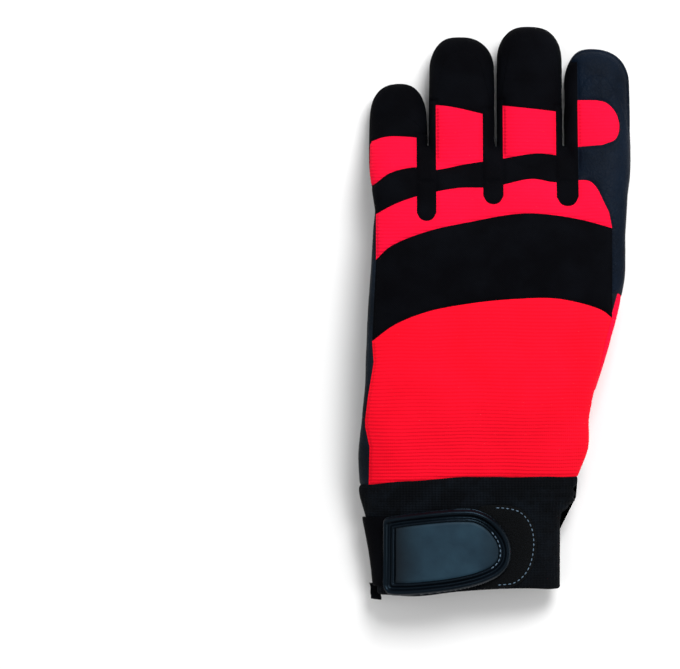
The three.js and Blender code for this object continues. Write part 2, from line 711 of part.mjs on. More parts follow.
// The index finger: its red patch, its leather, which takes in the side of the hand, and the cloth in the
// leather's flex slots
const [little, ringFinger, middleFinger, index] = fingers;
cut('index_back', 'red', onBack(INDEX_PATCH.map((place) => onFinger(index, place))));
const below = (growth) => (solid) => solid.subtract(above(growth));
for (const slot of FLEX_SLOTS) {
  const corner = (across, along) => onFinger(index, { across, along });
  const round = (slot.to - slot.from) / 4;
  const outline = [
    corner(FLEX_SLOT_START, slot.from),
    corner(slot.reach - round, slot.from),
    corner(slot.reach, slot.from + round),
    corner(slot.reach, slot.to - round),
    corner(slot.reach - round, slot.to),
    corner(FLEX_SLOT_START, slot.to),
  ];
  cut(slot.name, 'black', (growth) => below(-growth)(prism(grown(outline, growth))));
}
const indexGap = stripEdges.at(-1).gap;
const indexOutline = [
  new THREE.Vector2(indexGap, FAR_Y),
  ...smooth(INDEX_SEAM.slice(0, -1).map(onHand), 10),
  onHand(INDEX_SEAM.at(-1)),
  onHand(INDEX_SEAM.at(-1)).setY(FAR_Y),
];
cut('index_leather', 'leather', through(indexOutline));

// Fronts of the other fingers
for (const [i, finger] of [little, ringFinger, middleFinger].entries()) {
  const left = i ? stripEdges[i - 1].gap : -OUTSIDE;
  const outline = [
    new THREE.Vector2(left, FRONT_SEAM_Y),
    new THREE.Vector2(stripEdges[i].gap, FRONT_SEAM_Y),
    new THREE.Vector2(stripEdges[i].gap, FAR_Y),
    new THREE.Vector2(left, FAR_Y),
  ];
  cut(`${finger.name}_front`, 'black', through(outline));
}

// The thumb: its back, which wraps round the side of the hand, and its leather front
const thumbLine = THUMB_SEAM.map((s) => [s.along * THUMB_LENGTH, s.height * THUMB_THICKNESS]);
const thumbBackSeam = seam(THUMB_BACK_SEAM, 14);
const thumbBackOutline = [...thumbBackSeam, ...THUMB_BACK_OUTSIDE.map(onHand)];
const wrapSide = [...BACK_RIGHT.slice(0, 4), ...THUMB_WRAP.toReversed()];
const wrapOutline = [bandBottom.at(-1), ...wrapSide.map(onHand)];
const thumbSkin = thumbTube(SKIN_WALL / 2);
cut('thumb_back', 'red', (growth) =>
  prism(grown(thumbBackOutline, growth))
    .intersect(thumbSkin)
    .subtract(spaceAbove(thumbLine, growth, thumbTip, thumbHeading))
    .add(prism(grown(wrapOutline, growth))),
);
cut('thumb_front', 'leather', (growth) => thumbSkin.subtract(handTube(-growth)));
pieces.push({ name: 'palm', material: 'leather', solid: largest(skin) });

// Pads on the palm are layers laid on the skin, and keep clear of the folded thumb.
const aroundThumb = thumbTube(FOLD_CLEARANCE);
const handWithFingers = (outwards) =>
  joined([handTube(outwards), ...fingers.map((finger) => fingerTube(finger, outwards))]);
const layer = (tubeAt, under, thickness) =>
  tubeAt(under + SEAM_GAP + thickness).subtract(tubeAt(under + SEAM_GAP));
const palmLayer = layer(handWithFingers, 0, PAD_THICKNESS).subtract(above(-HALF_GAP)).subtract(aroundThumb);
const sidePadOutline = new THREE.EllipseCurve(
  SIDE_PAD.across * PALM_WIDTH,
  WRIST_Y + SIDE_PAD.along * PALM_LENGTH,
  SIDE_PAD.wide * PALM_WIDTH,
  SIDE_PAD.long * PALM_LENGTH,
).getPoints(18).slice(0, -1);
const palmPads = [
  { name: 'heel_pad_outer', outline: smooth(HEEL_PAD_OUTER.map(onHand), 20, true) },
  { name: 'heel_pad_thumb', outline: smooth(HEEL_PAD_THUMB.map(onHand), 16, true) },
  { name: 'upper_pad', outline: smooth(UPPER_PAD.map(onHand), 40, true) },
  { name: 'side_pad', outline: sidePadOutline },
];
for (const { name, outline } of palmPads) {
  pieces.push({ name, material: 'pad', solid: largest(palmLayer.intersect(prism(outline))) });
}

// A rectangle with its corners cut off
function chamfered(left, right, low, high, corner) {
  return [
    new THREE.Vector2(left + corner, low),
    new THREE.Vector2(right - corner, low),
    new THREE.Vector2(right, low + corner),
    new THREE.Vector2(right, high - corner),
    new THREE.Vector2(right - corner, high),
    new THREE.Vector2(left + corner, high),
    new THREE.Vector2(left, high - corner),
    new THREE.Vector2(left, low + corner),
  ];
}

// Pads on the finger fronts
for (const pad of FINGER_PADS) {
  const finger = fingers[pad.finger];
  const outline = chamfered(
    mix(finger.left, finger.right, FINGER_PAD_EDGE),
    mix(finger.right, finger.left, FINGER_PAD_EDGE),
    ROOTS_Y + pad.from * finger.length,
    ROOTS_Y + pad.to * finger.length,
    FINGER_PAD_CORNER,
  );
  const cover = layer((outwards) => fingerTube(finger, outwards), 0, FINGER_PAD_THICKNESS);
  const solid = cover.intersect(prism(outline)).subtract(above(-FINGER_PAD_DROP));
  pieces.push({ name: pad.name, material: 'pad', solid: largest(solid) });
}

// The cuff, and what is laid on its back: the loop patch, the strap, and the moulded tab with its field
const cuff = cuffTube(0).subtract(cuffHollow);
const cuffMiddle = spaceAbove(
  cuffBoxes.map((box) => [box.y, middleOf(box)]),
  0,
  origin,
  FORWARD,
);
const onCuff = (under, thickness, outline) =>
  largest(layer(cuffTube, under, thickness).intersect(cuffMiddle).intersect(prism(outline)));
const tabLeft = cuffBoxes[0].left + TAB_SETBACK;
const tabRight = tabLeft + TAB_LENGTH;
const strapRight = tabRight - TAB_RIM_WIDTH - STRAP_END_SETBACK;

// A bar along X with a rounded right end, inset from the tab's outline
function bar(left, right, width) {
  const radius = width / 2;
  const end = new THREE.Shape()
    .moveTo(left, STRAP_CENTRE_Y - radius)
    .lineTo(right - radius, STRAP_CENTRE_Y - radius)
    .absarc(right - radius, STRAP_CENTRE_Y, radius, -Math.PI / 2, Math.PI / 2)
    .lineTo(left, STRAP_CENTRE_Y + radius);
  return end.getPoints(5);
}
const tabOutline = bar(tabLeft, tabRight, TAB_WIDTH);
const fieldHole = bar(tabLeft + TAB_RIM_WIDTH, tabRight - TAB_RIM_WIDTH, TAB_WIDTH - 2 * TAB_RIM_WIDTH);
const fieldInset = TAB_RIM_WIDTH + SEAM_GAP;
const fieldOutline = bar(tabLeft + fieldInset, tabRight - fieldInset, TAB_WIDTH - 2 * fieldInset);
const patchOutline = bar(strapRight + SEAM_GAP, tabRight + LOOP_PATCH_SHOWS, LOOP_PATCH_WIDTH);
const strapOutline = [
  new THREE.Vector2(-OUTSIDE, STRAP_CENTRE_Y - STRAP_WIDTH / 2),
  new THREE.Vector2(strapRight, STRAP_CENTRE_Y - STRAP_WIDTH / 2),
  new THREE.Vector2(strapRight, STRAP_CENTRE_Y + STRAP_WIDTH / 2),
  new THREE.Vector2(-OUTSIDE, STRAP_CENTRE_Y + STRAP_WIDTH / 2),
];
const underTab = STRAP_THICKNESS + SEAM_GAP;
const fieldFloor = underTab + SEAM_GAP + TAB_THICKNESS;
const rimSolid = layer(cuffTube, underTab, TAB_THICKNESS + TAB_RIM_HEIGHT).intersect(prism(tabOutline));
const sunk = cuffTube(fieldFloor + 2 * TAB_RIM_HEIGHT)
  .subtract(cuffTube(fieldFloor))
  .intersect(prism(fieldHole));
const tail = prism(
  chamfered(-TAIL_WIDTH / 2, TAIL_WIDTH / 2, 0, TAIL_LENGTH, TAIL_WIDTH / 5),
  -TAIL_THICKNESS / 2,
  TAIL_THICKNESS / 2,
).translate([cuffBoxes[0].left - SEAM_GAP - TAIL_WIDTH / 2, 0, middleOf(cuffBoxes[0]) - TAIL_THICKNESS]);
pieces.push({ name: 'cuff', material: 'black', solid: cuff });
pieces.push({ name: 'loop_patch', material: 'black', solid: onCuff(0, LOOP_PATCH_THICKNESS, patchOutline) });
pieces.push({ name: 'wrist_strap', material: 'black', solid: onCuff(0, STRAP_THICKNESS, strapOutline) });
const tab = largest(rimSolid.intersect(cuffMiddle).subtract(sunk));
pieces.push({ name: 'strap_tab', material: 'rubber', solid: tab });
pieces.push({
  name: 'tab_field',
  material: 'field',
  solid: onCuff(underTab + TAB_THICKNESS + SEAM_GAP, TAB_FIELD_THICKNESS, fieldOutline),
});
pieces.push({ name: 'seam_tail', material: 'black', solid: tail });

// What touches the surface is pressed flat there, and the glove stands with its box centred on the origin.
const whole = joined(pieces.map((piece) => piece.solid));
const box = whole.boundingBox();
const ground = prism(
  [
    new THREE.Vector2(-OUTSIDE * 2, -OUTSIDE),
    new THREE.Vector2(OUTSIDE * 2, -OUTSIDE),
    new THREE.Vector2(OUTSIDE * 2, FAR_Y),
    new THREE.Vector2(-OUTSIDE * 2, FAR_Y),
  ],
  box.min[2] - OUTSIDE,
  box.min[2] + REST_FLAT,
);
const centred = [
  -(box.min[0] + box.max[0]) / 2,
  -(box.min[1] + box.max[1]) / 2,
  -(box.min[2] + REST_FLAT),
];
const group = new THREE.Group();
for (const { name, material, solid } of pieces) {
  group.add(meshOf(name, solid.subtract(ground).translate(centred), materials[material]));
}
export default group;
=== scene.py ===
# A left-hand chainsaw glove lying palm down, with its thumb folded under the palm.
# The glove's own pieces are worked out in millimetres, with the cuff's opening at Y 0, and are brought into
# the frame when they are finished.
import math

import bmesh
import bpy
import numpy as np
from mathutils import Matrix, Vector, noise
from mathutils.bvhtree import BVHTree
from mathutils.kdtree import KDTree


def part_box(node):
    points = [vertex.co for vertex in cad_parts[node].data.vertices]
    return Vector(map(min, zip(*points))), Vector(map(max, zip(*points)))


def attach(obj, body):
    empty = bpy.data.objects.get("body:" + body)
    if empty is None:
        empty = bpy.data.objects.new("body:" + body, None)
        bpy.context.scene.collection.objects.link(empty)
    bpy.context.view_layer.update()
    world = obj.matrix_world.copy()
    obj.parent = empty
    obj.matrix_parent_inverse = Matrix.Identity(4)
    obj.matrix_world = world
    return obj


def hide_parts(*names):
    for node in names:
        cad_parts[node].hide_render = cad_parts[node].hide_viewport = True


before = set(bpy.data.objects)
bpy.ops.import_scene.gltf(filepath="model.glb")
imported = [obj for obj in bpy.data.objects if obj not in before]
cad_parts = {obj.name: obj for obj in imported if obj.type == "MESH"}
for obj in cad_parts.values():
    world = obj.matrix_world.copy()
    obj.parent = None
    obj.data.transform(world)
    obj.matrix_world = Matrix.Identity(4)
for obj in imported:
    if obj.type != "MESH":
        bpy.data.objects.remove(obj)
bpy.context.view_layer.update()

# Driving sizes, in millimetres
MM = 0.001
PALM_LENGTH = 144
PALM_WIDTH = 121
PALM_THICKNESS = 25
CUFF_LENGTH = 56
CUFF_WIDTH = 85.6
CUFF_THICKNESS = 24
CUFF_SHIFT = -9.8
WRIST_WIDTH = 102.9
WRIST_SHIFT = -10
FINGER_GAP = 0.8
FINGER_TIP_ROUND = 15
FINGER_ROOT_DEPTH = 18
FINGER_ROOT_RISE = 0.7
FINGER_ROOT_SHARE = 0.8
FINGER_SEAM_SETBACK = 4
FINGER_TIP_TAPER = 0.05
TIP_DROOP = 0.04
THUMB_LENGTH = 114
THUMB_WIDTH = 40
THUMB_THICKNESS = 14
THUMB_ANGLE = math.radians(-36)
SKIN_WALL = 2
CUFF_WALL = 2.4
SEAM_GAP = 0.3
PAD_THICKNESS = 2.2
FINGER_PAD_THICKNESS = 1.2
FOLD_CLEARANCE = 0.6
STRAP_THICKNESS = 2
STRAP_WIDTH = 33
STRAP_CENTRE_Y = 22
REST_FLAT = 0.4
FAR = 400
PALM_LIFT = THUMB_THICKNESS + FOLD_CLEARANCE + PAD_THICKNESS + SEAM_GAP
FINGERTIP_LIFT = FINGER_PAD_THICKNESS + SEAM_GAP
WRIST_Y = CUFF_LENGTH
ROOTS_Y = CUFF_LENGTH + PALM_LENGTH
FRONT_SEAM_Y = ROOTS_Y - FINGER_SEAM_SETBACK
HAND_SQUARENESS = 2.4
FINGER_SQUARENESS = 2.3

# How fine the meshes are, and how far the forms are grown back after they are joined
SKIN_CELL = 0.65
HOLLOW_CELL = 1.6
GROW_BACK = 0.6
HAIR_GAP = 0.01
DEEPEST = 1.2
AROUND = 1.2

# How the skin is shaped by its sewing: a groove at each seam and a soft crown between seams
SEAM_DEPTH = 0.75
SEAM_WIDTH = 1.0
SKIN_CROWN = 0.4
CROWN_REACH = 7.0
PARTING_FADE = 12
SKIN_TUCK = 1.6
CUFF_TUCK = 1.5
WRAP_LEAN = 0.55
# Where the folded thumb and the palm face each other, both stay clear of the middle
CREVICE_HEIGHT = 3
CREVICE_SHARE = 0.3
CREVICE_FACING = 0.3
CREVICE_GAP = 0.15


def table(columns, rows):
    """Rows of numbers as dictionaries with named columns."""
    names = columns.split()
    return [dict(zip(names, row)) for row in rows]


# Sections of the hand from the wrist seam to the finger roots, in shares of the palm's sizes
HAND = table("along left right wrist lift thick", [
    (0.0, -0.508, 0.342, 1.0, 0.27, 0.98),
    (0.097, -0.517, 0.423, 0.5, 0.56, 0.98),
    (0.2, -0.498, 0.395, 0.2, 0.86, 0.99),
    (0.306, -0.488, 0.41, 0.0, 1.0, 1.0),
    (0.41, -0.484, 0.45, 0.0, 1.0, 1.02),
    (0.514, -0.478, 0.487, 0.0, 1.0, 1.02),
    (0.618, -0.471, 0.512, 0.0, 1.0, 1.0),
    (0.826, -0.453, 0.521, 0.0, 0.95, 0.95),
    (0.917, -0.446, 0.528, 0.0, 0.8, 0.93),
    (1.0, -0.459, 0.532, 0.0, 0.66, 0.82),
    (1.05, -0.42, 0.5, 0.0, 0.7, 0.6),
    (1.085, -0.37, 0.45, 0.0, 0.8, 0.36),
])
# Sections of the cuff from its opening, as shares of the way from the opening to the wrist
CUFF = table("along left right swell", [
    (0.0, 0.0, 0.0, 0.0),
    (0.35, 0.22, 0.0, 0.03),
    (0.54, 0.44, 0.0, 0.19),
    (0.65, 0.58, 0.02, 0.33),
    (0.71, 0.65, 0.13, 0.42),
    (0.77, 0.74, 0.54, 0.52),
    (0.83, 0.82, 0.83, 0.63),
    (0.89, 0.9, 0.78, 0.76),
    (1.0, 1.0, 1.0, 1.0),
])
# From the little finger on: length beyond the palm, and the sideways lean of the tip
FINGERS = [
    dict(name="little", width=27.3, length=42, thickness=17, lean=0.5, pad=True),
    dict(name="ring", width=31.1, length=64, thickness=18.5, lean=-1.6, pad=True),
    dict(name="middle", width=31.1, length=69, thickness=19, lean=-0.3, pad=True),
    dict(name="index", width=30.5, length=58, thickness=19, lean=-3.4, pad=False),
]
# How a finger droops from the knuckles to the surface, along in finger lengths
DROOP = table("along droop wide", [
    (0.0, 1.0, 0.98),
    (0.2, 0.71, 1.0),
    (0.45, 0.32, 1.0),
])
# Sections of the thumb from its tip, in thumb lengths, widths and thicknesses
THUMB = table("along low high base top", [
    (0.0, -0.12, 0.24, 0.34, 0.56),
    (0.04, -0.25, 0.35, 0.09, 0.79),
    (0.13, -0.42, 0.42, 0.0, 0.92),
    (0.22, -0.49, 0.44, 0.0, 0.98),
    (0.4, -0.545, 0.445, 0.0, 1.0),
    (0.52, -0.59, 0.54, 0.0, 1.03),
    (0.62, -0.66, 0.7, 0.02, 1.16),
    (0.71, -0.74, 0.82, 0.1, 1.48),
    (0.79, -0.83, 0.85, 0.27, 1.8),
    (0.88, -0.92, 0.66, 0.56, 2.05),
    (0.95, -0.85, 0.24, 0.92, 2.1),
    (1.0, -0.62, -0.2, 1.3, 2.0),
])
THUMB_TIP = (-0.314, 0.806)
THUMB_SEAM = table("along height", [
    (-0.2, 0.45), (0.5, 0.52), (0.62, 0.66), (0.72, 1.05), (0.8, 1.6), (0.9, 2.3), (1.3, 2.6),
])

# Seams as places on the hand: across in palm widths, along in palm lengths
BAND_BOTTOM = [(-0.458, 0.45), (-0.373, 0.502), (-0.245, 0.545), (-0.078, 0.572), (0.091, 0.586),
               (0.26, 0.587), (0.427, 0.551), (0.47, 0.525)]
BAND_TOP = [(-0.443, 0.714), (-0.388, 0.757), (-0.245, 0.806), (-0.078, 0.837), (0.091, 0.862),
            (0.194, 0.863), (0.344, 0.845), (0.47, 0.817)]
KNUCKLE_TOP = [(-0.443, 0.863), (-0.373, 0.894), (-0.287, 0.92), (-0.128, 0.947), (0.0, 0.95),
               (0.159, 0.977), (0.25, 0.966), (0.381, 0.971)]
KNUCKLE_SIDE = [(0.412, 0.947), (0.437, 0.905), (0.458, 0.869)]
STRIPE_START = (-0.6, 0.84)
STRIPE_TOP = [(-0.6, 0.9), (-0.458, 0.956), (-0.388, 0.997), (-0.287, 1.016), (-0.217, 1.007),
              (-0.094, 1.026), (0.047, 1.044), (0.183, 1.061), (0.28, 1.053)]
BACK_LEFT = [(-0.472, -0.05), (-0.468, 0.12), (-0.484, 0.18), (-0.485, 0.202), (-0.474, 0.274),
             (-0.452, 0.381)]
BACK_RIGHT = [(0.446, 0.45), (0.427, 0.368), (0.408, 0.306), (0.395, 0.26), (0.7, 0.2), (0.7, 0.0)]
THUMB_WRAP = [(0.7, 0.24), (0.7, 0.56), (0.492, 0.593)]
THUMB_FOOT = [(0.7, 0.19), (0.42, 0.2), (0.36, 0.186), (0.3, 0.172), (0.255, 0.176), (0.22, 0.195),
              (0.2, 0.25), (0.25, 0.4), (0.5, 0.573), (0.7, 0.573)]
THUMB_BACK_SEAM = [(0.5, 0.573), (0.44, 0.53), (0.366, 0.491), (0.25, 0.475), (0.135, 0.491), (0.019, 0.556),
                   (-0.058, 0.621), (-0.096, 0.702), (-0.127, 0.783), (-0.142, 0.841)]
THUMB_BACK_OUTSIDE = [(-0.22, 0.98), (-0.5, 0.95), (-0.5, 0.6), (-0.05, 0.15), (0.1, 0.0), (0.7, 0.0),
                      (0.7, 0.573)]
INDEX_SEAM = [(0.28, 0.94), (0.347, 0.902), (0.404, 0.847), (0.424, 0.783), (0.416, 0.734),
              (0.446, 0.604), (0.7, 0.604)]

# Pads on the palm
HEEL_PAD_OUTER = [(-0.443, 0.572), (-0.39, 0.6), (-0.25, 0.604), (-0.15, 0.55), (-0.116, 0.459),
                  (-0.143, 0.313), (-0.192, 0.184), (-0.289, 0.126), (-0.366, 0.135), (-0.424, 0.249),
                  (-0.45, 0.41)]
HEEL_PAD_THUMB = [(-0.096, 0.459), (-0.055, 0.51), (0.0, 0.47), (0.05, 0.36), (0.12, 0.23),
                  (0.125, 0.168), (-0.019, 0.126), (-0.096, 0.135), (-0.145, 0.19)]
UPPER_PAD = [(-0.212, 0.863), (-0.192, 0.96), (-0.135, 0.999), (-0.077, 0.928), (-0.05, 0.863),
             (0.0, 0.854), (0.039, 0.896), (0.077, 0.96), (0.123, 1.02), (0.166, 0.993),
             (0.181, 0.928), (0.204, 0.88), (0.25, 0.857), (0.327, 0.841), (0.385, 0.815),
             (0.4, 0.766), (0.37, 0.7), (0.28, 0.655), (0.05, 0.66), (-0.12, 0.72), (-0.2, 0.79)]
SIDE_PAD = dict(across=-0.385, along=0.779, wide=0.066, long=0.126)

# Strips between the fingers: shares of the fingers before and after the gap, the foot, and the reach
STRIPS = [
    dict(name="fourchette_little_ring", before=0.185, after=0.105, foot=0.84, up=(0.43, 0.53)),
    dict(name="fourchette_ring_middle", before=0.19, after=0.09, foot=0.894, up=(0.47, 0.5)),
    dict(name="fourchette_middle_index", before=0.11, after=0.2, foot=0.888, up=(0.46, 0.9)),
]
STRIP_FOOT = [(0.0, 0.42), (0.2, 0.1), (0.5, 0.0), (0.8, 0.1), (1.0, 0.42)]
# Tops of the red finger panels: across in finger widths, along in finger lengths
PANEL_TOPS = {
    "little": [(-0.4, 0.26), (0.02, 0.345), (0.3, 0.4), (0.9, 0.385), (1.2, 0.36)],
    "ring": [(-0.1, 0.505), (0.3, 0.485), (0.9, 0.42), (1.1, 0.4)],
    "middle": [(-0.1, 0.465), (0.4, 0.44), (1.1, 0.405)],
}
INDEX_PATCH = [(-0.1, 0.19), (0.58, 0.222), (0.78, 0.27), (0.84, 0.37), (0.78, 0.49), (0.64, 0.565),
               (0.5, 0.585), (-0.1, 0.59)]
FINGER_PADS = [
    dict(name="little_tip_pad", finger="little", start=0.19, end=0.97),
    dict(name="ring_tip_pad", finger="ring", start=0.46, end=0.98),
    dict(name="middle_tip_pad", finger="middle", start=0.42, end=0.98),
    dict(name="ring_middle_pad", finger="ring", start=0.13, end=0.32),
    dict(name="middle_middle_pad", finger="middle", start=0.15, end=0.33),
]
FINGER_PAD_EDGE = 0.1
FLEX_SLOTS = [
    dict(name="index_flex_lower", start=0.09, end=0.205, reach=0.72),
    dict(name="index_flex_upper", start=0.45, end=0.56, reach=0.76),
]

# Soft folds in the skin: where each starts and ends on the hand, its width and height in millimetres,
# and whether it shows on the back or on the palm
FOLDS = table("side x0 y0 x1 y1 width height", [
    ("palm", -0.3, 0.0, -0.1, 0.11, 3.2, 2.2),
    ("palm", -0.22, -0.02, -0.02, 0.1, 2.6, -1.9),
    ("palm", -0.13, 0.0, 0.1, 0.12, 3.4, 2.4),
    ("palm", 0.0, 0.0, 0.18, 0.1, 2.6, -1.7),
    ("palm", 0.1, 0.02, 0.28, 0.13, 3.0, 1.9),
    ("palm", -0.42, 0.02, -0.36, 0.16, 3.0, 1.4),
    ("palm", 0.22, 0.0, 0.33, 0.08, 2.4, -1.4),
    ("back", -0.43, 0.06, -0.3, 0.2, 5.0, 0.5),
    ("back", 0.18, 0.02, 0.34, 0.16, 6.0, 0.5),
    ("back", 0.3, 0.22, 0.4, 0.42, 5.0, -0.4),
    ("back", -0.46, 0.62, -0.3, 0.66, 6.0, 0.35),
    ("back", -0.2, 0.3, 0.15, 0.34, 9.0, 0.35),
])

# How thick a pad is by the distance from its edge: a turned edge, two sewn rows and the filled middle
PAD_RISE = table("depth height", [
    (0.0, 0.8), (0.7, 1.15), (1.5, 0.7), (2.5, 1.1), (3.5, 0.7), (5.0, 1.5), (8.0, 1.9), (14.0, 2.0),
    (40.0, 2.0),
])
FINGER_PAD_RISE = table("depth height", [
    (0.0, 0.6), (0.6, 0.85), (1.4, 0.5), (2.3, 0.8), (3.1, 0.55), (4.6, 1.0), (9.0, 1.25), (30.0, 1.3),
])
SEW_ROWS = (1.5, 3.5)
FINGER_SEW_ROWS = (1.4, 3.1)
# Thickness of the moulded tab: two raised lips with a groove between them, round a sunken floor
TAB_RISE = table("depth height", [
    (0.0, 1.3), (0.5, 2.2), (1.4, 3.0), (2.2, 2.8), (3.1, 1.5), (3.9, 1.45), (4.7, 2.5), (5.3, 2.45),
    (5.9, 1.5), (40.0, 1.5),
])
FIELD_RISE = table("depth height", [
    (0.0, 1.7), (0.5, 2.0), (2.0, 2.2), (6.0, 2.5), (14.0, 2.7), (40.0, 2.7),
])
PATCH_RISE = table("depth height", [
    (0.0, 0.5), (0.7, 1.1), (1.6, 1.0), (2.6, 1.3), (8.0, 1.4), (40.0, 1.4),
])
TAB_LIP_WIDTH = 5.9
UNDER_TAB = STRAP_THICKNESS + SEAM_GAP
# Outlines on the cuff's back, in millimetres
TAB_OUTLINE = [(-50.2, 20), (-50.2, 30), (-49.6, 37.6), (-45.5, 38.9), (-29.8, 41.0), (-14.4, 42.1),
               (-6.7, 41.6), (-0.5, 38.9), (4.8, 34.1), (8.6, 28.0), (9.8, 21.8), (8.6, 15.7),
               (4.8, 11.1), (-2.9, 7.2), (-14.4, 4.2), (-29.8, 2.1), (-41.3, 1.3), (-47.5, 1.9),
               (-50.0, 5.0), (-50.2, 12)]
PATCH_OUTLINE = [(-5.5, 24), (-5.5, 36), (-5.0, 42.6), (0.0, 43.6), (8.0, 43.5), (15.0, 41.4), (20.2, 35.0),
                 (21.9, 25.0), (19.0, 12.7), (12.5, 6.2), (5.0, 5.0), (-4.6, 5.4), (-5.5, 12)]
STRAP_REACH = (0.5, 0.241)
HEM = table("x rise", [
    (-60, 1.5), (-48.9, 1.5), (-36, 0.9), (-14.6, 3.2), (18.7, 4.6), (30, 4.2), (40, 5.2),
])
TAIL_LENGTH = 7
TAIL_WIDTH = 5
TAIL_FOLD = 0.9
# The simulation of the pads' filling, at a hundredth of a metre to the millimetre
SIM_SCALE = 0.01
SIM_CELL = 1.4
SIM_FRAMES = 18
SIM_PRESSURE = 4
PAD_SWELL = 0.8
STITCH_PITCH = 2.3
STITCH_SIZE = (1.7, 0.3)
# Slight unevenness of the skin, in millimetres
UNEVEN = table("height size seed", [
    (0.35, 26, 3),
    (0.12, 9, 7),
])



# Numbers and lines

def smooth_through(xs, ys, at):
    """A smooth curve through points, read at the given places."""
    xs, ys, at = np.asarray(xs, float), np.asarray(ys, float), np.asarray(at, float)
    slope = np.gradient(ys, xs)
    i = np.clip(np.searchsorted(xs, at, side="right") - 1, 0, len(xs) - 2)
    step = xs[i + 1] - xs[i]
    t = np.clip((at - xs[i]) / step, 0, 1)
    rise = ys[i] * (1 + 2 * t) * (1 - t) ** 2 + ys[i + 1] * t * t * (3 - 2 * t)
    return rise + step * (slope[i] * t * (1 - t) ** 2 + slope[i + 1] * t * t * (t - 1))


def column(rows, name):
    return np.array([row[name] for row in rows], float)


def mix(a, b, share):
    return a + (b - a) * share


def on_hand(places):
    return [(across * PALM_WIDTH, WRIST_Y + along * PALM_LENGTH) for across, along in places]


def curve(points, steps, closed=False):
    """A smooth line through a few points, as an array of plain points."""
    p = np.array(points, float)
    if closed:
        p = np.vstack([p[-2:], p, p[:3]])
    distance = np.concatenate([[0], np.cumsum(np.sqrt(np.linalg.norm(np.diff(p, axis=0), axis=1)))])
    first, last = (distance[2], distance[-3]) if closed else (distance[0], distance[-1])
    at = np.linspace(first, last, steps + 1)
    line = np.stack([smooth_through(distance, p[:, 0], at), smooth_through(distance, p[:, 1], at)], axis=1)
    return line[:-1] if closed else line


def spaced(line, pitch, closed=False):
    """Points along a line at an even pitch."""
    p = np.array(line, float)
    if closed:
        p = np.vstack([p, p[:1]])
    distance = np.concatenate([[0], np.cumsum(np.linalg.norm(np.diff(p, axis=0), axis=1))])
    count = max(int(distance[-1] / pitch), 2)
    at = np.linspace(0, distance[-1], count + 1)
    made = np.stack([np.interp(at, distance, p[:, i]) for i in range(p.shape[1])], axis=1)
    return made[:-1] if closed else made


def area_of(outline):
    x, y = np.array(outline, float).T
    return 0.5 * np.sum(x * np.roll(y, -1) - np.roll(x, -1) * y)


def grown(outline, distance):
    """A closed outline moved outwards by a distance, or inwards if it is negative."""
    p = np.array(outline, float)
    turn = 1 if area_of(p) > 0 else -1
    one = p - np.roll(p, 1, axis=0)
    two = np.roll(p, -1, axis=0) - p
    one /= np.linalg.norm(one, axis=1, keepdims=True)
    two /= np.linalg.norm(two, axis=1, keepdims=True)
    normal = np.stack([one[:, 1] + two[:, 1], -one[:, 0] - two[:, 0]], axis=1)
    normal /= np.linalg.norm(normal, axis=1, keepdims=True)
    stretch = np.maximum(normal[:, 0] * one[:, 1] - normal[:, 1] * one[:, 0], 0.5)
    return p + turn * distance * normal / stretch[:, None]


def inside(points, outline):
    """Which of the points lie inside an outline."""
    x, y = points[:, 0], points[:, 1]
    held = np.zeros(len(points), bool)
    for (x0, y0), (x1, y1) in zip(outline, np.roll(np.array(outline, float), -1, axis=0)):
        if y0 == y1:
            continue
        crosses = (y0 > y) != (y1 > y)
        held ^= crosses & (x < x0 + (x1 - x0) * (y - y0) / (y1 - y0))
    return held


def depth_inside(points, outline):
    """How far inside an outline each point lies, negative outside it."""
    nearest = np.full(len(points), 1e9)
    for a, b in zip(np.array(outline, float), np.roll(np.array(outline, float), -1, axis=0)):
        way = b - a
        t = np.clip(((points - a) @ way) / max(way @ way, 1e-12), 0, 1)
        nearest = np.minimum(nearest, np.linalg.norm(points - a - t[:, None] * way, axis=1))
    return np.where(inside(points, outline), nearest, -nearest)


def bell(distance, width):
    return np.exp(-(distance / width) ** 2)


# Forms of the glove: each gives points for an angle round it, from 0 to 1, and a place along it, from 0
# to 1, grown outwards by a distance

WRIST_EDGES = (WRIST_SHIFT - WRIST_WIDTH / 2, WRIST_SHIFT + WRIST_WIDTH / 2)
CUFF_EDGES = (CUFF_SHIFT - CUFF_WIDTH / 2, CUFF_SHIFT + CUFF_WIDTH / 2)
hand_y = WRIST_Y + column(HAND, "along") * PALM_LENGTH
hand_left = mix(column(HAND, "left") * PALM_WIDTH, WRIST_EDGES[0], column(HAND, "wrist"))
hand_right = mix(column(HAND, "right") * PALM_WIDTH, WRIST_EDGES[1], column(HAND, "wrist"))
hand_low = column(HAND, "lift") * PALM_LIFT
hand_high = hand_low + column(HAND, "thick") * PALM_THICKNESS
cuff_y = column(CUFF, "along") * CUFF_LENGTH
cuff_left = mix(CUFF_EDGES[0], WRIST_EDGES[0], column(CUFF, "left"))
cuff_right = mix(CUFF_EDGES[1], WRIST_EDGES[1], column(CUFF, "right"))
cuff_low = column(CUFF, "swell") * hand_low[0]
cuff_high = mix(CUFF_THICKNESS, hand_high[0], column(CUFF, "swell"))
ROOT = [row["along"] for row in HAND].index(1.0)
root_middle = (hand_low[ROOT] + hand_high[ROOT]) / 2


def rounded(turn, half_width, half_height, squareness):
    """A point on a rounded box's outline."""
    c, s = np.cos(2 * np.pi * turn), np.sin(2 * np.pi * turn)
    power = 2 / squareness
    return (np.sign(c) * np.abs(c) ** power * half_width, np.sign(s) * np.abs(s) ** power * half_height)


def box_at(y, ys, left, right, low, high):
    return [smooth_through(ys, side, y) for side in (left, right, low, high)]


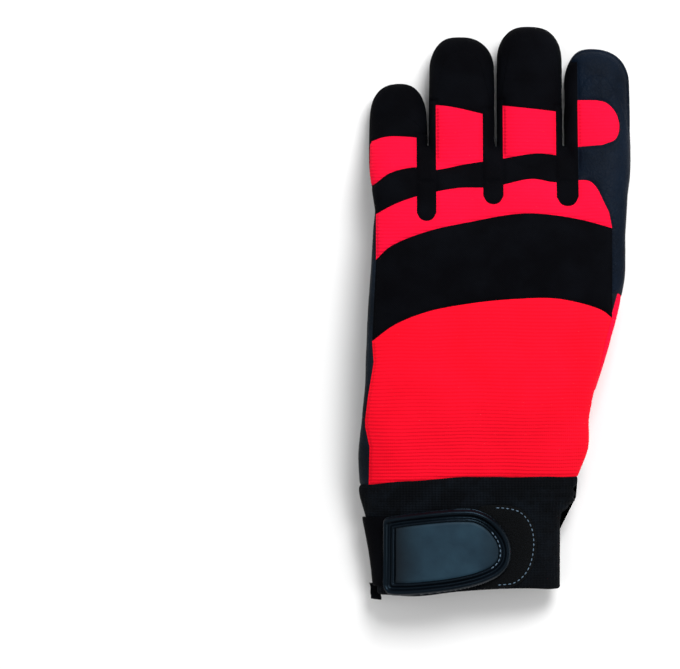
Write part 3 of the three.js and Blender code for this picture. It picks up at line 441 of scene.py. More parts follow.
def hand_form(turn, along, out, start=WRIST_Y):
    y = mix(start, hand_y[-1], along)
    left, right, low, high = box_at(y, hand_y, hand_left, hand_right, hand_low, hand_high)
    side, up = rounded(turn, (right - left) / 2 + out, (high - low) / 2 + out, HAND_SQUARENESS)
    return (left + right) / 2 + side, y + np.minimum(out, 0) * (2 * along - 1), (low + high) / 2 + up


def cuff_form(turn, y, out):
    left, right, low, high = box_at(y, cuff_y, cuff_left, cuff_right, cuff_low, cuff_high)
    side, up = rounded(turn, (right - left) / 2 + out, (high - low) / 2 + out, HAND_SQUARENESS)
    return (left + right) / 2 + side, y, (low + high) / 2 + up


row_width = sum(f["width"] for f in FINGERS) + FINGER_GAP * (len(FINGERS) - 1)
edge = (hand_left[ROOT] + hand_right[ROOT] - row_width) / 2
for finger in FINGERS:
    finger["left"], finger["right"] = edge, edge + finger["width"]
    edge = finger["right"] + FINGER_GAP
finger_named = {f["name"]: f for f in FINGERS}


def finger_height(finger, droop):
    tip = (FINGERTIP_LIFT if finger["pad"] else 0) + finger["thickness"] / 2
    return mix(tip, root_middle, droop)


def finger_form(finger, turn, along, out, straight=0.72):
    """A finger: up to the share straight it runs from inside the hand to where its tip starts to round."""
    round_from = ROOTS_Y + finger["length"] - FINGER_TIP_ROUND
    deep = ROOTS_Y - FINGER_ROOT_DEPTH
    ys = [deep, *(ROOTS_Y + s["along"] * finger["length"] for s in DROOP), round_from, round_from + 15]
    two_back = (hand_low[ROOT - 2] + hand_high[ROOT - 2]) / 2
    zs = [mix(root_middle, two_back, FINGER_ROOT_RISE), *(finger_height(finger, s["droop"]) for s in DROOP)]
    zs += [finger_height(finger, TIP_DROOP), finger_height(finger, 0)]
    wide = [FINGER_ROOT_SHARE, *(s["wide"] for s in DROOP), 1 - FINGER_TIP_TAPER / 2, 1 - FINGER_TIP_TAPER]
    angle = np.clip((along - straight) / (1 - straight), 0, 1) * np.pi / 2
    y = mix(deep, round_from, np.clip(along / straight, 0, 1)) + (FINGER_TIP_ROUND + out) * np.sin(angle)
    share = np.maximum(np.cos(angle), 0) ** 0.75
    size = share * smooth_through(ys, wide, y)
    middle = (finger["left"] + finger["right"]) / 2 + finger["lean"] * (1 - share)
    half_height = finger["thickness"] / 2 + out
    side, up = rounded(turn, (finger["width"] / 2 + out) * size, half_height * size, FINGER_SQUARENESS)
    return middle + side, y, smooth_through(ys, zs, y) + up


thumb_tip = on_hand([THUMB_TIP])[0]
THUMB_WAY = (math.cos(THUMB_ANGLE), math.sin(THUMB_ANGLE))


def thumb_form(turn, along, out):
    at = column(THUMB, "along")
    low, high = (smooth_through(at, column(THUMB, n), along) * THUMB_WIDTH for n in ("low", "high"))
    base, top = (smooth_through(at, column(THUMB, n), along) * THUMB_THICKNESS for n in ("base", "top"))
    half_width = np.maximum((high - low) / 2 + out, 1)
    half_height = np.maximum((top - base) / 2 + out, 0.5)
    side, up = rounded(turn, half_width, half_height, FINGER_SQUARENESS)
    distance = along * THUMB_LENGTH + out * (2 * along - 1)
    across = (low + high) / 2 + side
    x = thumb_tip[0] + THUMB_WAY[0] * distance - THUMB_WAY[1] * across
    y = thumb_tip[1] + THUMB_WAY[1] * distance + THUMB_WAY[0] * across
    return x, y, (base + top) / 2 + up


# The line at mid-height that parts the back from the palm
part_finger = finger_named["middle"]
PARTING_Y = [-FAR, *hand_y[:ROOT + 1],
             *(ROOTS_Y + s["along"] * part_finger["length"] for s in DROOP[1:]), FAR]
PARTING_Z = [(hand_low[0] + hand_high[0]) / 2, *((hand_low + hand_high) / 2)[:ROOT + 1],
             *(finger_height(part_finger, s["droop"]) for s in DROOP[1:]), finger_height(part_finger, 0)]


# Meshes

def coords(mesh):
    made = np.empty(len(mesh.vertices) * 3, np.float32)
    mesh.vertices.foreach_get("co", made)
    return made.reshape(-1, 3).astype(float)


def set_coords(mesh, places):
    mesh.vertices.foreach_set("co", np.ascontiguousarray(places, np.float32).ravel())
    mesh.update()


def normals(mesh):
    made = np.empty(len(mesh.vertices) * 3, np.float32)
    mesh.vertex_normals.foreach_get("vector", made)
    return made.reshape(-1, 3).astype(float)


def mesh_of(bm):
    mesh = bpy.data.meshes.new("shape")
    bm.to_mesh(mesh)
    bm.free()
    return mesh


def bent_grid(place, around, along):
    """A closed tube: a flat grid is bent by place(turn, along) and its edges are joined."""
    bm = bmesh.new()
    bmesh.ops.create_grid(bm, x_segments=around, y_segments=along, size=0.5)
    flat = np.array([v.co for v in bm.verts])
    for v, co in zip(bm.verts, np.stack(place(flat[:, 0] + 0.5, flat[:, 1] + 0.5), axis=1)):
        v.co = co
    bmesh.ops.remove_doubles(bm, verts=bm.verts, dist=1e-3)
    bmesh.ops.holes_fill(bm, edges=[e for e in bm.edges if e.is_boundary], sides=0)
    bmesh.ops.recalc_face_normals(bm, faces=bm.faces)
    return mesh_of(bm)


def joined(meshes):
    bm = bmesh.new()
    for mesh in meshes:
        bm.from_mesh(mesh)
    return mesh_of(bm)


def baked(mesh, *modifiers):
    """A mesh with modifiers worked into it, each given as its type and its settings."""
    work = bpy.data.objects.new("work", mesh)
    bpy.context.scene.collection.objects.link(work)
    for kind, settings in modifiers:
        modifier = work.modifiers.new(kind, kind)
        for name, value in settings.items():
            setattr(modifier, name, value)
    made = bpy.data.meshes.new_from_object(work.evaluated_get(bpy.context.evaluated_depsgraph_get()))
    bpy.data.objects.remove(work)
    return made


def combined(mesh, other, operation):
    tool = bpy.data.objects.new("tool", other)
    bpy.context.scene.collection.objects.link(tool)
    made = baked(mesh, ("BOOLEAN", dict(object=tool, operation=operation, solver="MANIFOLD")))
    bpy.data.objects.remove(tool)
    return made


def remeshed(mesh, cell, rounds):
    return baked(
        mesh,
        ("REMESH", dict(mode="VOXEL", voxel_size=cell)),
        ("SMOOTH", dict(factor=0.5, iterations=rounds)),
    )


def prism(outline, low=-FAR, high=FAR):
    """A straight-sided block over an outline."""
    bm = bmesh.new()
    face = bm.faces.new([bm.verts.new((x, y, low)) for x, y in outline])
    top = bmesh.ops.extrude_face_region(bm, geom=[face])
    bmesh.ops.translate(bm, verts=[g for g in top["geom"] if isinstance(g, bmesh.types.BMVert)],
                        vec=(0, 0, high - low))
    bmesh.ops.triangulate(bm, faces=bm.faces[:])
    bmesh.ops.recalc_face_normals(bm, faces=bm.faces)
    return mesh_of(bm)


def space_above(line, lift, start, way):
    """The space above a line of distances and heights that runs from a start along a way."""
    mesh = prism([(d, z + lift) for d, z in line] + [(line[-1][0], FAR), (line[0][0], FAR)])
    mesh.transform(Matrix((
        (way[0], 0, way[1], start[0]),
        (way[1], 0, -way[0], start[1]),
        (0, 1, 0, 0),
        (0, 0, 0, 1),
    )))
    return mesh


def above_parting(lift):
    return space_above(list(zip(PARTING_Y, PARTING_Z)), lift, (0, 0), (0, 1))


def above_thumb_seam(lift):
    line = [(s["along"] * THUMB_LENGTH, s["height"] * THUMB_THICKNESS) for s in THUMB_SEAM]
    return space_above(line, lift, thumb_tip, THUMB_WAY)


def main_body(mesh, least=0.03):
    """The mesh without the crumbs that a cut leaves behind."""
    bm = bmesh.new()
    bm.from_mesh(mesh)
    bm.verts.ensure_lookup_table()
    seen = np.zeros(len(bm.verts), bool)
    crumbs = []
    for start in bm.verts:
        if seen[start.index]:
            continue
        body, front = [start], [start]
        seen[start.index] = True
        while front:
            vertex = front.pop()
            for e in vertex.link_edges:
                other = e.other_vert(vertex)
                if not seen[other.index]:
                    seen[other.index] = True
                    body.append(other)
                    front.append(other)
        if len(body) < least * len(bm.verts):
            crumbs += body
    bmesh.ops.delete(bm, geom=crumbs, context="VERTS")
    return mesh_of(bm)


class Surface:
    """A mesh that other pieces are laid on."""

    def __init__(self, mesh):
        bm = bmesh.new()
        bm.from_mesh(mesh)
        self.tree = BVHTree.FromBMesh(bm)
        bm.free()

    def hit(self, start, way):
        place, normal, _, _ = self.tree.ray_cast(Vector(start), Vector(way))
        return (place, normal) if place else (None, None)

    def from_above(self, x, y):
        return self.hit((x, y, FAR), (0, 0, -1))

    def from_below(self, x, y):
        """The underside, seen past the folded thumb where the palm lies over it."""
        floor = float(smooth_through(hand_y, hand_low, y)) - 2.8 if WRIST_Y < y < ROOTS_Y else -FAR
        return self.hit((x, y, floor), (0, 0, 1))

    def on_palm(self, x, y):
        """The palm's own face, without the walls of the folded thumb."""
        place, normal = self.from_below(x, y)
        return (place, normal) if place and normal.z < -0.3 else (None, None)

    def from_floor(self, x, y):
        return self.hit((x, y, -FAR), (0, 0, 1))


# Finishes

def linear(red, green, blue):
    """A colour as seen on a screen, from 0 to 255, in the renderer's own light values."""
    parts = [c / 255 for c in (red, green, blue)]
    return (*(c / 12.92 if c <= 0.04045 else ((c + 0.055) / 1.055) ** 2.4 for c in parts), 1)


class Wire:
    """One output of a shader node, which takes part in sums as a number does."""

    def __init__(self, finish, socket):
        self.finish, self.socket = finish, socket

    def sum(self, operation, first, second=0.0):
        return self.finish.node("ShaderNodeMath", dict(operation=operation), {0: first, 1: second})

    def __add__(self, other):
        return self.sum("ADD", self, other)

    def __sub__(self, other):
        return self.sum("SUBTRACT", self, other)

    def __rsub__(self, other):
        return self.sum("SUBTRACT", other, self)

    def __mul__(self, other):
        return self.sum("MULTIPLY", self, other)

    def sine(self):
        return self.sum("SINE", self)

    __radd__ = __add__
    __rmul__ = __mul__


class Finish:
    """A material in the making."""

    def __init__(self, name):
        self.material = bpy.data.materials.new(name)
        self.material.use_nodes = True
        self.tree = self.material.node_tree
        self.shader = self.tree.nodes["Principled BSDF"]
        self.place = self.node("ShaderNodeTexCoord", {}, {}, "Object")

    def node(self, kind, settings, sockets, output=0):
        made = self.tree.nodes.new(kind)
        for name, value in settings.items():
            setattr(made, name, value)
        for name, value in sockets.items():
            self.feed(made.inputs[name], value)
        return Wire(self, made.outputs[output])

    def feed(self, socket, value):
        if isinstance(value, Wire):
            self.tree.links.new(value.socket, socket)
        else:
            socket.default_value = value

    def set(self, **values):
        for name, value in values.items():
            self.feed(self.shader.inputs[name.replace("_", " ").title().replace("Ior", "IOR")], value)
        return self.material

    def grain(self, scale, detail=2.0, roughness=0.5, place=None):
        """Soft noise, from 0 to 1, with so many spots to a metre."""
        sockets = {"Vector": place or self.place, "Scale": scale, "Detail": detail, "Roughness": roughness}
        return self.node("ShaderNodeTexNoise", {}, sockets)

    def cells(self, scale, feature="F1"):
        return self.node("ShaderNodeTexVoronoi", dict(feature=feature),
                         {"Vector": self.place, "Scale": scale}, "Distance")

    def stretched(self, x, y, z):
        return self.node("ShaderNodeMapping", {}, {"Vector": self.place, "Scale": (x, y, z)})

    def axis(self, letter):
        return self.node("ShaderNodeSeparateXYZ", {}, {0: self.place}, letter)

    def blend(self, share, one, two):
        return self.node("ShaderNodeMix", dict(data_type="RGBA"), {0: share, 6: one, 7: two}, 2)

    def range(self, value, low, high, to_low=0.0, to_high=1.0):
        return self.node("ShaderNodeMapRange", {}, {0: value, 1: low, 2: high, 3: to_low, 4: to_high})

    def bump(self, height, depth):
        return self.node("ShaderNodeBump", {}, {"Strength": 1.0, "Distance": depth, "Height": height})


def ribbed_cloth(name, colour, shade):
    """Stretch cloth with fine ribs across the hand, with painted shade in the rib grooves."""
    made = Finish(name)
    drift = made.grain(28, 1.0)
    ribs = (made.axis("Y") * (2 * math.pi / 0.00165) + drift * 9.0).sine() * 0.5 + 0.5
    knit = (made.axis("X") * (2 * math.pi / 0.0009)).sine() * 0.5 + 0.5
    fuzz = made.grain(2600, 3.0)
    height = ribs * 1.0 + knit * 0.18 + fuzz * 0.5
    worn = made.range(made.grain(45, 3.0), 0.35, 0.7)
    tint = made.blend(worn * 0.35, colour, shade)
    # Painted shade: the rib grooves are darkened towards the shade colour, up to a fifth of the way, with a
    # little random fuzz.
    made.set(base_color=made.blend(ribs * -0.2 + 0.2 + fuzz * 0.1, tint, shade))
    return made.set(roughness=made.range(fuzz, 0.2, 0.8, 0.8, 0.95), normal=made.bump(height, 0.00018),
                    specular_ior_level=0.06)


def stretch_cloth(name, colour, shade):
    """Plain close-woven stretch cloth."""
    made = Finish(name)
    warp = (made.axis("X") * (2 * math.pi / 0.0011)).sine()
    weft = (made.axis("Y") * (2 * math.pi / 0.0011)).sine()
    fuzz = made.grain(1800, 3.0)
    weave = warp * weft * 0.5 + 0.5
    worn = made.range(made.grain(60, 4.0), 0.4, 0.75)
    made.set(base_color=made.blend(worn * 0.6 + fuzz * 0.3, colour, shade))
    return made.set(roughness=made.range(fuzz, 0.2, 0.8, 0.75, 0.95), specular_ior_level=0.035,
                    normal=made.bump(weave + fuzz * 0.6, 0.00012))


def knit_cuff(name, colour, shade):
    """Knitted elastic with fine upright ribs."""
    made = Finish(name)
    sway = made.grain(60, 2.0)
    ribs = (made.axis("X") * (2 * math.pi / 0.0015) + sway * 6.0).sine()
    rows = (made.axis("Y") * (2 * math.pi / 0.0012)).sine()
    fuzz = made.grain(1500, 4.0)
    worn = made.range(made.grain(80, 5.0, 0.7), 0.45, 0.75)
    made.set(base_color=made.blend(worn * 0.7 + fuzz * 0.25, colour, shade))
    return made.set(roughness=made.range(fuzz, 0.2, 0.8, 0.75, 0.95), specular_ior_level=0.06,
                    normal=made.bump(ribs * 0.5 + rows * 0.3 + fuzz, 0.0002))


def grained_leather(name, colour, shade, rough=0.5, depth=0.00016, gloss=0.07):
    """Supple leather with a fine pebbled grain and softly worn high spots."""
    made = Finish(name)
    pebbles = made.cells(1150, "F1")
    creases = made.cells(420, "DISTANCE_TO_EDGE")
    pores = made.grain(3800, 2.0)
    fold = made.range(creases, 0.0, 0.12)
    worn = made.range(made.grain(38, 4.0, 0.6), 0.35, 0.72)
    made.set(base_color=made.blend(worn * 0.75 + pebbles * 0.25, colour, shade))
    height = (1 - pebbles) * 0.8 + fold * 0.5 + pores * 0.35
    return made.set(roughness=made.range(worn + pores * 0.4, 0.0, 1.4, rough + 0.12, rough - 0.08),
                    normal=made.bump(height, depth), specular_ior_level=gloss)


def moulded_rubber(name, colour, shade, rough):
    """Satin moulded rubber with a very fine tooth."""
    made = Finish(name)
    tooth = made.grain(2200, 2.0)
    cloud = made.range(made.grain(55, 3.0), 0.3, 0.75)
    scuffs = made.range(made.grain(600, 6.0, 0.8, made.stretched(0.25, 1.0, 1.0)), 0.6, 0.8)
    made.set(base_color=made.blend(cloud * 0.6 + scuffs * 0.12, colour, shade))
    return made.set(roughness=made.range(tooth + scuffs * 0.5, 0.2, 1.2, rough, rough + 0.16),
                    normal=made.bump(tooth, 0.00004), specular_ior_level=0.22,
                    specular_tint=linear(150, 190, 220))


def tab_face(name, colour, shade, end_shade):
    """The tab's smooth face, with painted shade that darkens it towards its sewn end and, less, towards its
    tip.
    """
    made = Finish(name)
    tooth = made.grain(2200, 2.0)
    cloud = made.range(made.grain(70, 4.0), 0.3, 0.75)
    left, right = (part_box("tab_field")[i][0] for i in (0, 1))
    # Painted shade: the face is darkened fully at its sewn end and about halfway at its tip.
    from_end = made.range(made.axis("X"), left - 0.001, mix(left, right, 0.3))
    to_tip = made.range(made.axis("X"), mix(left, right, 0.8), right, 1.0, 0.45)
    face = made.blend(cloud, colour, shade)
    made.set(base_color=made.blend(from_end * to_tip, end_shade, face))
    return made.set(roughness=made.range(tooth + cloud * 0.5, 0.2, 1.2, 0.42, 0.6),
                    normal=made.bump(tooth + cloud * 4.0, 0.00005), specular_ior_level=0.12)


def loop_pile(name, colour, shade):
    """Brushed loop cloth that hooks hold on to."""
    made = Finish(name)
    loops = made.cells(1300, "F1")
    fuzz = made.grain(2400, 5.0, 0.8)
    made.set(base_color=made.blend(made.range(fuzz, 0.5, 0.8) * 0.8, colour, shade))
    return made.set(roughness=made.range(fuzz, 0.2, 0.8, 0.8, 1.0), specular_ior_level=0.1,
                    normal=made.bump((1 - loops) + fuzz * 0.8, 0.0004))


def sewing_thread(name, colour, shade):
    made = Finish(name)
    twist = (made.axis("X") * 5200 + made.axis("Y") * 6100).sine() * 0.5 + 0.5
    made.set(base_color=made.blend(twist * 0.5, colour, shade))
    return made.set(roughness=made.range(twist, 0.0, 1.0, 0.55, 0.75), normal=made.bump(twist, 0.00008),
                    specular_ior_level=0.4)


# Sewn pieces

CUFF_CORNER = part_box("cuff")[0]
TO_FRAME = Matrix.Scale(MM, 4) @ Matrix.Translation(
    (CUFF_CORNER[0] / MM - WRIST_EDGES[0], CUFF_CORNER[1] / MM, -REST_FLAT))


def settled(places):
    """The glove as it lies: it sags a little where the little finger's side meets the cuff, and nothing
    sinks into the surface below."""
    x, y = places[:, 0], places[:, 1]
    side = np.clip((-12 - x) / 46, 0, 1.2) ** 1.3
    reach = np.where(y < WRIST_Y, bell(y - WRIST_Y, 12), bell(y - WRIST_Y, 32))
    moved = places.copy()
    moved[:, 1] += reach * (0.8 * bell(x - 15, 40) - 3.0 * side)
    moved[:, 2] = np.maximum(moved[:, 2], REST_FLAT)
    return moved


def dress(name, mesh, material, slot, *nodes, sharp=50):
    """A finished piece, brought into the frame, which stands for the frame's nodes."""
    set_coords(mesh, settled(coords(mesh)))
    mesh.transform(TO_FRAME)
    mesh.materials.clear()
    mesh.materials.append(material)
    mesh.shade_smooth()
    mesh.set_sharp_from_angle(angle=math.radians(sharp))
    piece = bpy.data.objects.new(name, mesh)
    bpy.context.scene.collection.objects.link(piece)
    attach(piece, "root")
    if nodes:
        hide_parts(*nodes)
    return piece


def lane(line, left, right):
    """The space beyond a line, between two sides."""
    line = np.array(line, float)
    held = line[(line[:, 0] > left) & (line[:, 0] < right)]
    ends = [np.interp(x, line[:, 0], line[:, 1]) for x in (left, right)]
    return [(left, ends[0]), *map(tuple, held), (right, ends[1]), (right, FAR), (left, FAR)]


def panels():
    """Every cut panel in the order of cutting: name, and the outlines that it takes on a side."""
    made = []
    gaps, strip_right = [], []
    for strip, one, two in zip(STRIPS, FINGERS, FINGERS[1:]):
        left = one["right"] - strip["before"] * one["width"]
        right = two["left"] + strip["after"] * two["width"]
        gap = (one["right"] + two["left"]) / 2
        top_left, top_right = (ROOTS_Y + up * f["length"] for up, f in zip(strip["up"], (one, two)))
        sides = [(right, top_right), (gap, top_right), (gap, top_left), (left, top_left)]
        foot_y = WRIST_Y + strip["foot"] * PALM_LENGTH
        foot = curve([(mix(left, right, a), foot_y + (right - left) * b) for a, b in STRIP_FOOT], 16)
        made.append((strip["name"], [("back", [*map(tuple, foot), *sides]),
                                     ("both", [(left, FRONT_SEAM_Y), (right, FRONT_SEAM_Y), *sides])]))
        gaps.append(gap)
        strip_right.append(right)
    bottom, top = curve(on_hand(BAND_BOTTOM), 60), curve(on_hand(BAND_TOP), 60)
    knuckle = curve(on_hand(KNUCKLE_TOP + KNUCKLE_SIDE), 80)
    back = [*on_hand(BACK_LEFT), *map(tuple, bottom), *on_hand(BACK_RIGHT)]
    made.append(("back_panel", [("back", back)]))
    made.append(("back_band", [("back", [*map(tuple, bottom), *map(tuple, top[::-1])])]))
    made.append(("knuckle_panel", [("back", [*map(tuple, top), *map(tuple, knuckle[::-1])])]))
    stripe_top = curve(on_hand(STRIPE_TOP), 60)
    arc = [p for p in knuckle if p[0] < strip_right[-1]]
    stripe_bottom = [on_hand([STRIPE_START])[0], *arc]
    lefts, rights = [-FAR / 4, *gaps], [*gaps, FAR / 4]
    for name, places in PANEL_TOPS.items():
        finger = finger_named[name]
        i = FINGERS.index(finger)
        line = curve([on_finger(finger, *p) for p in places], 24)
        for part, edge_line in (("cap", line), ("back", stripe_top), ("stripe", stripe_bottom)):
            made.append((f"{name}_{part}", [("back", lane(edge_line, lefts[i], rights[i]))]))
    index = finger_named["index"]
    patch = curve([on_finger(index, *p) for p in INDEX_PATCH[1:-1]], 40)
    ends = [on_finger(index, *p) for p in (INDEX_PATCH[-1], INDEX_PATCH[0])]
    made.append(("index_back", [("back", [*map(tuple, patch), *ends])]))
    for slot in FLEX_SLOTS:
        made.append((slot["name"], [("front", slot_outline(slot, index))]))
    seam = curve(on_hand(INDEX_SEAM[:-1]), 40)
    last = on_hand(INDEX_SEAM[-1:])[0]
    made.append(("index_leather", [("both", [(gaps[-1], FAR), *map(tuple, seam), last, (last[0], FAR)])]))
    for i, finger in enumerate(FINGERS[:3]):
        corners = [(lefts[i], FRONT_SEAM_Y), (rights[i], FRONT_SEAM_Y), (rights[i], FAR), (lefts[i], FAR)]
        made.append((f"{finger['name']}_front", [("both", corners)]))
    return made


def on_finger(finger, across, along):
    return (mix(finger["left"], finger["right"], across), ROOTS_Y + along * finger["length"])


def slot_outline(slot, finger, steps=8):
    """A flex slot with a round end, open to the middle finger's side."""
    x0, y0 = on_finger(finger, -0.3, slot["start"])
    x1, y1 = on_finger(finger, slot["reach"], slot["end"])
    r = (y1 - y0) / 2
    bend = [(x1 - r + r * math.sin(a), (y0 + y1) / 2 - r * math.cos(a))
            for a in np.linspace(0, math.pi, steps)]
    return [(x0, y0), *bend, (x0, y1)]


def cutter(sides, growth):
    """The space of a panel, grown by a distance."""
    parts = []
    for side, outline in sides:
        block = prism(grown(outline, growth))
        if side == "back":
            block = combined(block, above_parting(-growth), "INTERSECT")
        elif side == "front":
            block = combined(block, above_parting(growth), "DIFFERENCE")
        parts.append(block)
    return parts[0] if len(parts) == 1 else combined(parts[0], parts[1], "UNION")


def thumb_back_outline():
    seam = curve(on_hand(THUMB_BACK_SEAM), 50)
    return [*map(tuple, seam), *on_hand(THUMB_BACK_OUTSIDE)]


def thumb_wrap_outline():
    bottom = curve(on_hand(BAND_BOTTOM), 60)
    return [tuple(bottom[-1]), *on_hand(BACK_RIGHT[:4]), *on_hand(THUMB_WRAP)]


def leaned(mesh, slope, height):
    """A block that leans along the hand, and stays where it was at a height."""
    mesh.transform(Matrix(((1, 0, 0, 0), (0, 1, slope, -slope * height), (0, 0, 1, 0), (0, 0, 0, 1))))
    return mesh


def seam_points(skin, cuts):
    """Places on the skin along every seam between panels."""
    surface = Surface(skin)
    looks = {"back": [surface.from_above], "front": [surface.on_palm],
             "both": [surface.from_above, surface.on_palm], "floor": [surface.from_floor]}
    hidden_by = {surface.from_above: ("back", "both"), surface.on_palm: ("front", "both"),
                 surface.from_floor: ("floor",)}
    earlier, places = [], []
    every = [*cuts, ("thumb_back", [("floor", thumb_back_outline()), ("back", thumb_wrap_outline()),
                                    ("floor", on_hand(THUMB_FOOT[:5]))])]
    for _, sides in every:
        for side, outline in sides:
            edge_points = spaced(outline, 0.5, closed=True)
            edge_points = edge_points[(np.abs(edge_points) < FAR / 4 + ROOTS_Y).all(axis=1)]
            for look in looks[side]:
                seen = np.ones(len(edge_points), bool)
                for old_side, old in earlier:
                    if old_side in hidden_by[look]:
                        seen &= depth_inside(edge_points, old) < 0.3
                for x, y in edge_points[seen]:
                    place, _ = look(x, y)
                    if place:
                        places.append(place)
        earlier += sides
    return places


def distance_to_seams(places, seams):
    tree = KDTree(len(seams))
    for i, place in enumerate(seams):
        tree.insert(place, i)
    tree.balance()
    return np.array([tree.find(place)[2] for place in places])


def soft_noise(places, size, seed):
    return np.array([noise.noise(Vector(p) / size + Vector((seed, 0, 0))) for p in places])


def fold_height(places, facing):
    """Height of the soft folds at each place, by the way that the surface faces."""
    height = np.zeros(len(places))
    for fold in FOLDS:
        (x0, y0), (x1, y1) = on_hand([(fold["x0"], fold["y0"]), (fold["x1"], fold["y1"])])
        way = np.array([x1 - x0, y1 - y0])
        length = np.linalg.norm(way)
        offset = places[:, :2] - (x0, y0)
        along = offset @ way / length ** 2
        across = np.abs(offset @ np.array([-way[1], way[0]]) / length)
        sway = 1.5 * np.sin(along * 5 + x0)
        side = np.clip(facing if fold["side"] == "back" else -facing, 0, 1)
        height += fold["height"] * bell(across + sway * 0.3, fold["width"]) * bell(along - 0.5, 0.42) * side
    return height


def sewn_skin():
    """The outside of the glove with its seams sunk in, as one closed mesh."""
    parts = [bent_grid(lambda u, v: hand_form(u, v, -GROW_BACK, WRIST_Y - SKIN_TUCK), 140, 150),
             bent_grid(lambda u, v: thumb_form(u, v, -GROW_BACK), 80, 100)]
    parts += [bent_grid(lambda u, v, f=f: finger_form(f, u, v, -GROW_BACK), 72, 90) for f in FINGERS]
    skin = remeshed(joined(parts), SKIN_CELL, 8)
    places, facing = coords(skin), normals(skin)
    set_coords(skin, places + facing * GROW_BACK)
    places = coords(skin)
    near = distance_to_seams(places, seam_points(skin, CUTS))
    parting = np.abs(places[:, 2] - np.interp(places[:, 1], PARTING_Y, PARTING_Z))
    sideways = 1 - np.abs(facing[:, 2])
    index_side = (places[:, 0] > FINGERS[-1]["left"]) & (places[:, 1] > WRIST_Y + 0.6 * PALM_LENGTH)
    near = np.where(index_side, near, np.minimum(near, parting + PARTING_FADE * (1 - sideways) ** 2))
    near = np.minimum(near, np.maximum(places[:, 1] - WRIST_Y, 0))
    height = -SEAM_DEPTH * bell(near, SEAM_WIDTH) + SKIN_CROWN * (1 - bell(near, CROWN_REACH))
    height += fold_height(places, facing[:, 2])
    for spot in UNEVEN:
        height += spot["height"] * soft_noise(places, spot["size"], spot["seed"])
    crevice = bell(places[:, 2] - (THUMB_THICKNESS + PALM_LIFT) / 2, CREVICE_HEIGHT) > CREVICE_SHARE
    crevice &= np.abs(facing[:, 2]) > CREVICE_FACING
    height = np.where(crevice, np.minimum(height, -CREVICE_GAP), height)
    places = places + facing * np.maximum(height, -DEEPEST)[:, None]
    places[:, 2] = np.maximum(places[:, 2], REST_FLAT)
    set_coords(skin, places)
    return skin


def hollow_form():
    past_wrist = WRIST_Y - 3 * SKIN_WALL
    parts = [bent_grid(lambda u, v: hand_form(u, v, -SKIN_WALL, past_wrist), 90, 90),
             bent_grid(lambda u, v: thumb_form(u, v, -SKIN_WALL), 50, 60)]
    parts += [bent_grid(lambda u, v, f=f: finger_form(f, u, v, -SKIN_WALL), 40, 60) for f in FINGERS]
    return remeshed(joined(parts), HOLLOW_CELL, 4)


CUTS = panels()


# Camera, light and the surface that the glove lies on

def picture():
    """The camera straight above, so that a millimetre falls where it does in the photograph."""
    per_pixel, wide, distance = 0.00047, 680, 3.0
    middle = (-0.0723, -0.0104)
    height = 0.02
    camera = bpy.data.objects.new("camera", bpy.data.cameras.new("camera"))
    camera.data.sensor_width = 36
    camera.data.lens = 36 * distance / (per_pixel * wide)
    camera.location = (*middle, distance + height)
    bpy.context.scene.collection.objects.link(camera)
    bpy.context.scene.camera = camera


def surface_below():
    bm = bmesh.new()
    bmesh.ops.create_grid(bm, x_segments=1, y_segments=1, size=3)
    mesh = mesh_of(bm)
    made = Finish("pale_table")
    speck = made.grain(300, 3.0)
    made.set(base_color=made.blend(speck * 0.1, (0.9, 0.9, 0.9, 1), (0.84, 0.84, 0.85, 1)), roughness=0.9)
    mesh.materials.append(made.material)
    floor = bpy.data.objects.new("table_top", mesh)
    bpy.context.scene.collection.objects.link(floor)


def lights():
    world = bpy.data.worlds.new("studio")
    world.use_nodes = True
    world.node_tree.nodes["Background"].inputs["Color"].default_value = (1, 1, 1, 1)
    world.node_tree.nodes["Background"].inputs["Strength"].default_value = 0.5
    bpy.context.scene.world = world
    for name, size, power, place in (
        ("key_light", 0.6, 18, (0.35, 0.75, 1.1)),
        ("fill_light", 1.2, 3, (-0.9, -0.2, 1.2)),
        ("edge_light", 0.4, 2, (0.9, -0.3, 0.45)),
    ):
        light = bpy.data.objects.new(name, bpy.data.lights.new(name, "AREA"))
        light.data.energy = power
        light.data.size = size
        light.location = place
        light.rotation_euler = (Vector((0, 0, 0.02)) - Vector(place)).to_track_quat("-Z", "Y").to_euler()
        bpy.context.scene.collection.objects.link(light)


RED = linear(254, 13, 42)
RED_SHADE = linear(212, 5, 26)
PINK_RED = linear(250, 13, 56)
PINK_SHADE = linear(205, 6, 40)
BLACK = linear(2, 2, 4)
BLACK_SHADE = linear(8, 10, 15)
finishes = {
    "back_panel": ribbed_cloth("red_rib_cloth", RED, RED_SHADE),
    "finger_red": ribbed_cloth("bright_red_rib_cloth", PINK_RED, PINK_SHADE),
    "black": stretch_cloth("black_stretch_cloth", BLACK, BLACK_SHADE),
    "leather": grained_leather("blue_black_leather", linear(4, 8, 14), linear(15, 25, 36)),
    "index": grained_leather("dark_leather", linear(3, 8, 17), linear(11, 23, 38), gloss=0.05),
    "thumb": grained_leather("thumb_leather", linear(14, 27, 41), linear(30, 50, 66)),
    "pad": grained_leather("pad_leather", linear(16, 31, 45), linear(36, 57, 73), rough=0.46,
                           depth=0.0002, gloss=0.16),
    "cuff": knit_cuff("cuff_knit", linear(2, 3, 5), linear(13, 19, 26)),
    "rubber": moulded_rubber("moulded_rubber", linear(2, 4, 7), linear(8, 13, 20), 0.27),
    # The tab face's last colour is its painted end shade.
    "field": tab_face("smooth_rubber", linear(21, 40, 53), linear(32, 56, 70), linear(5, 10, 16)),
    "loop": loop_pile("loop_pile", linear(2, 3, 4), linear(24, 29, 36)),
    "thread": sewing_thread("blue_grey_thread", linear(88, 110, 128), linear(50, 68, 84)),
    "pale_thread": sewing_thread("pale_thread", linear(170, 184, 186), linear(110, 124, 128)),
}
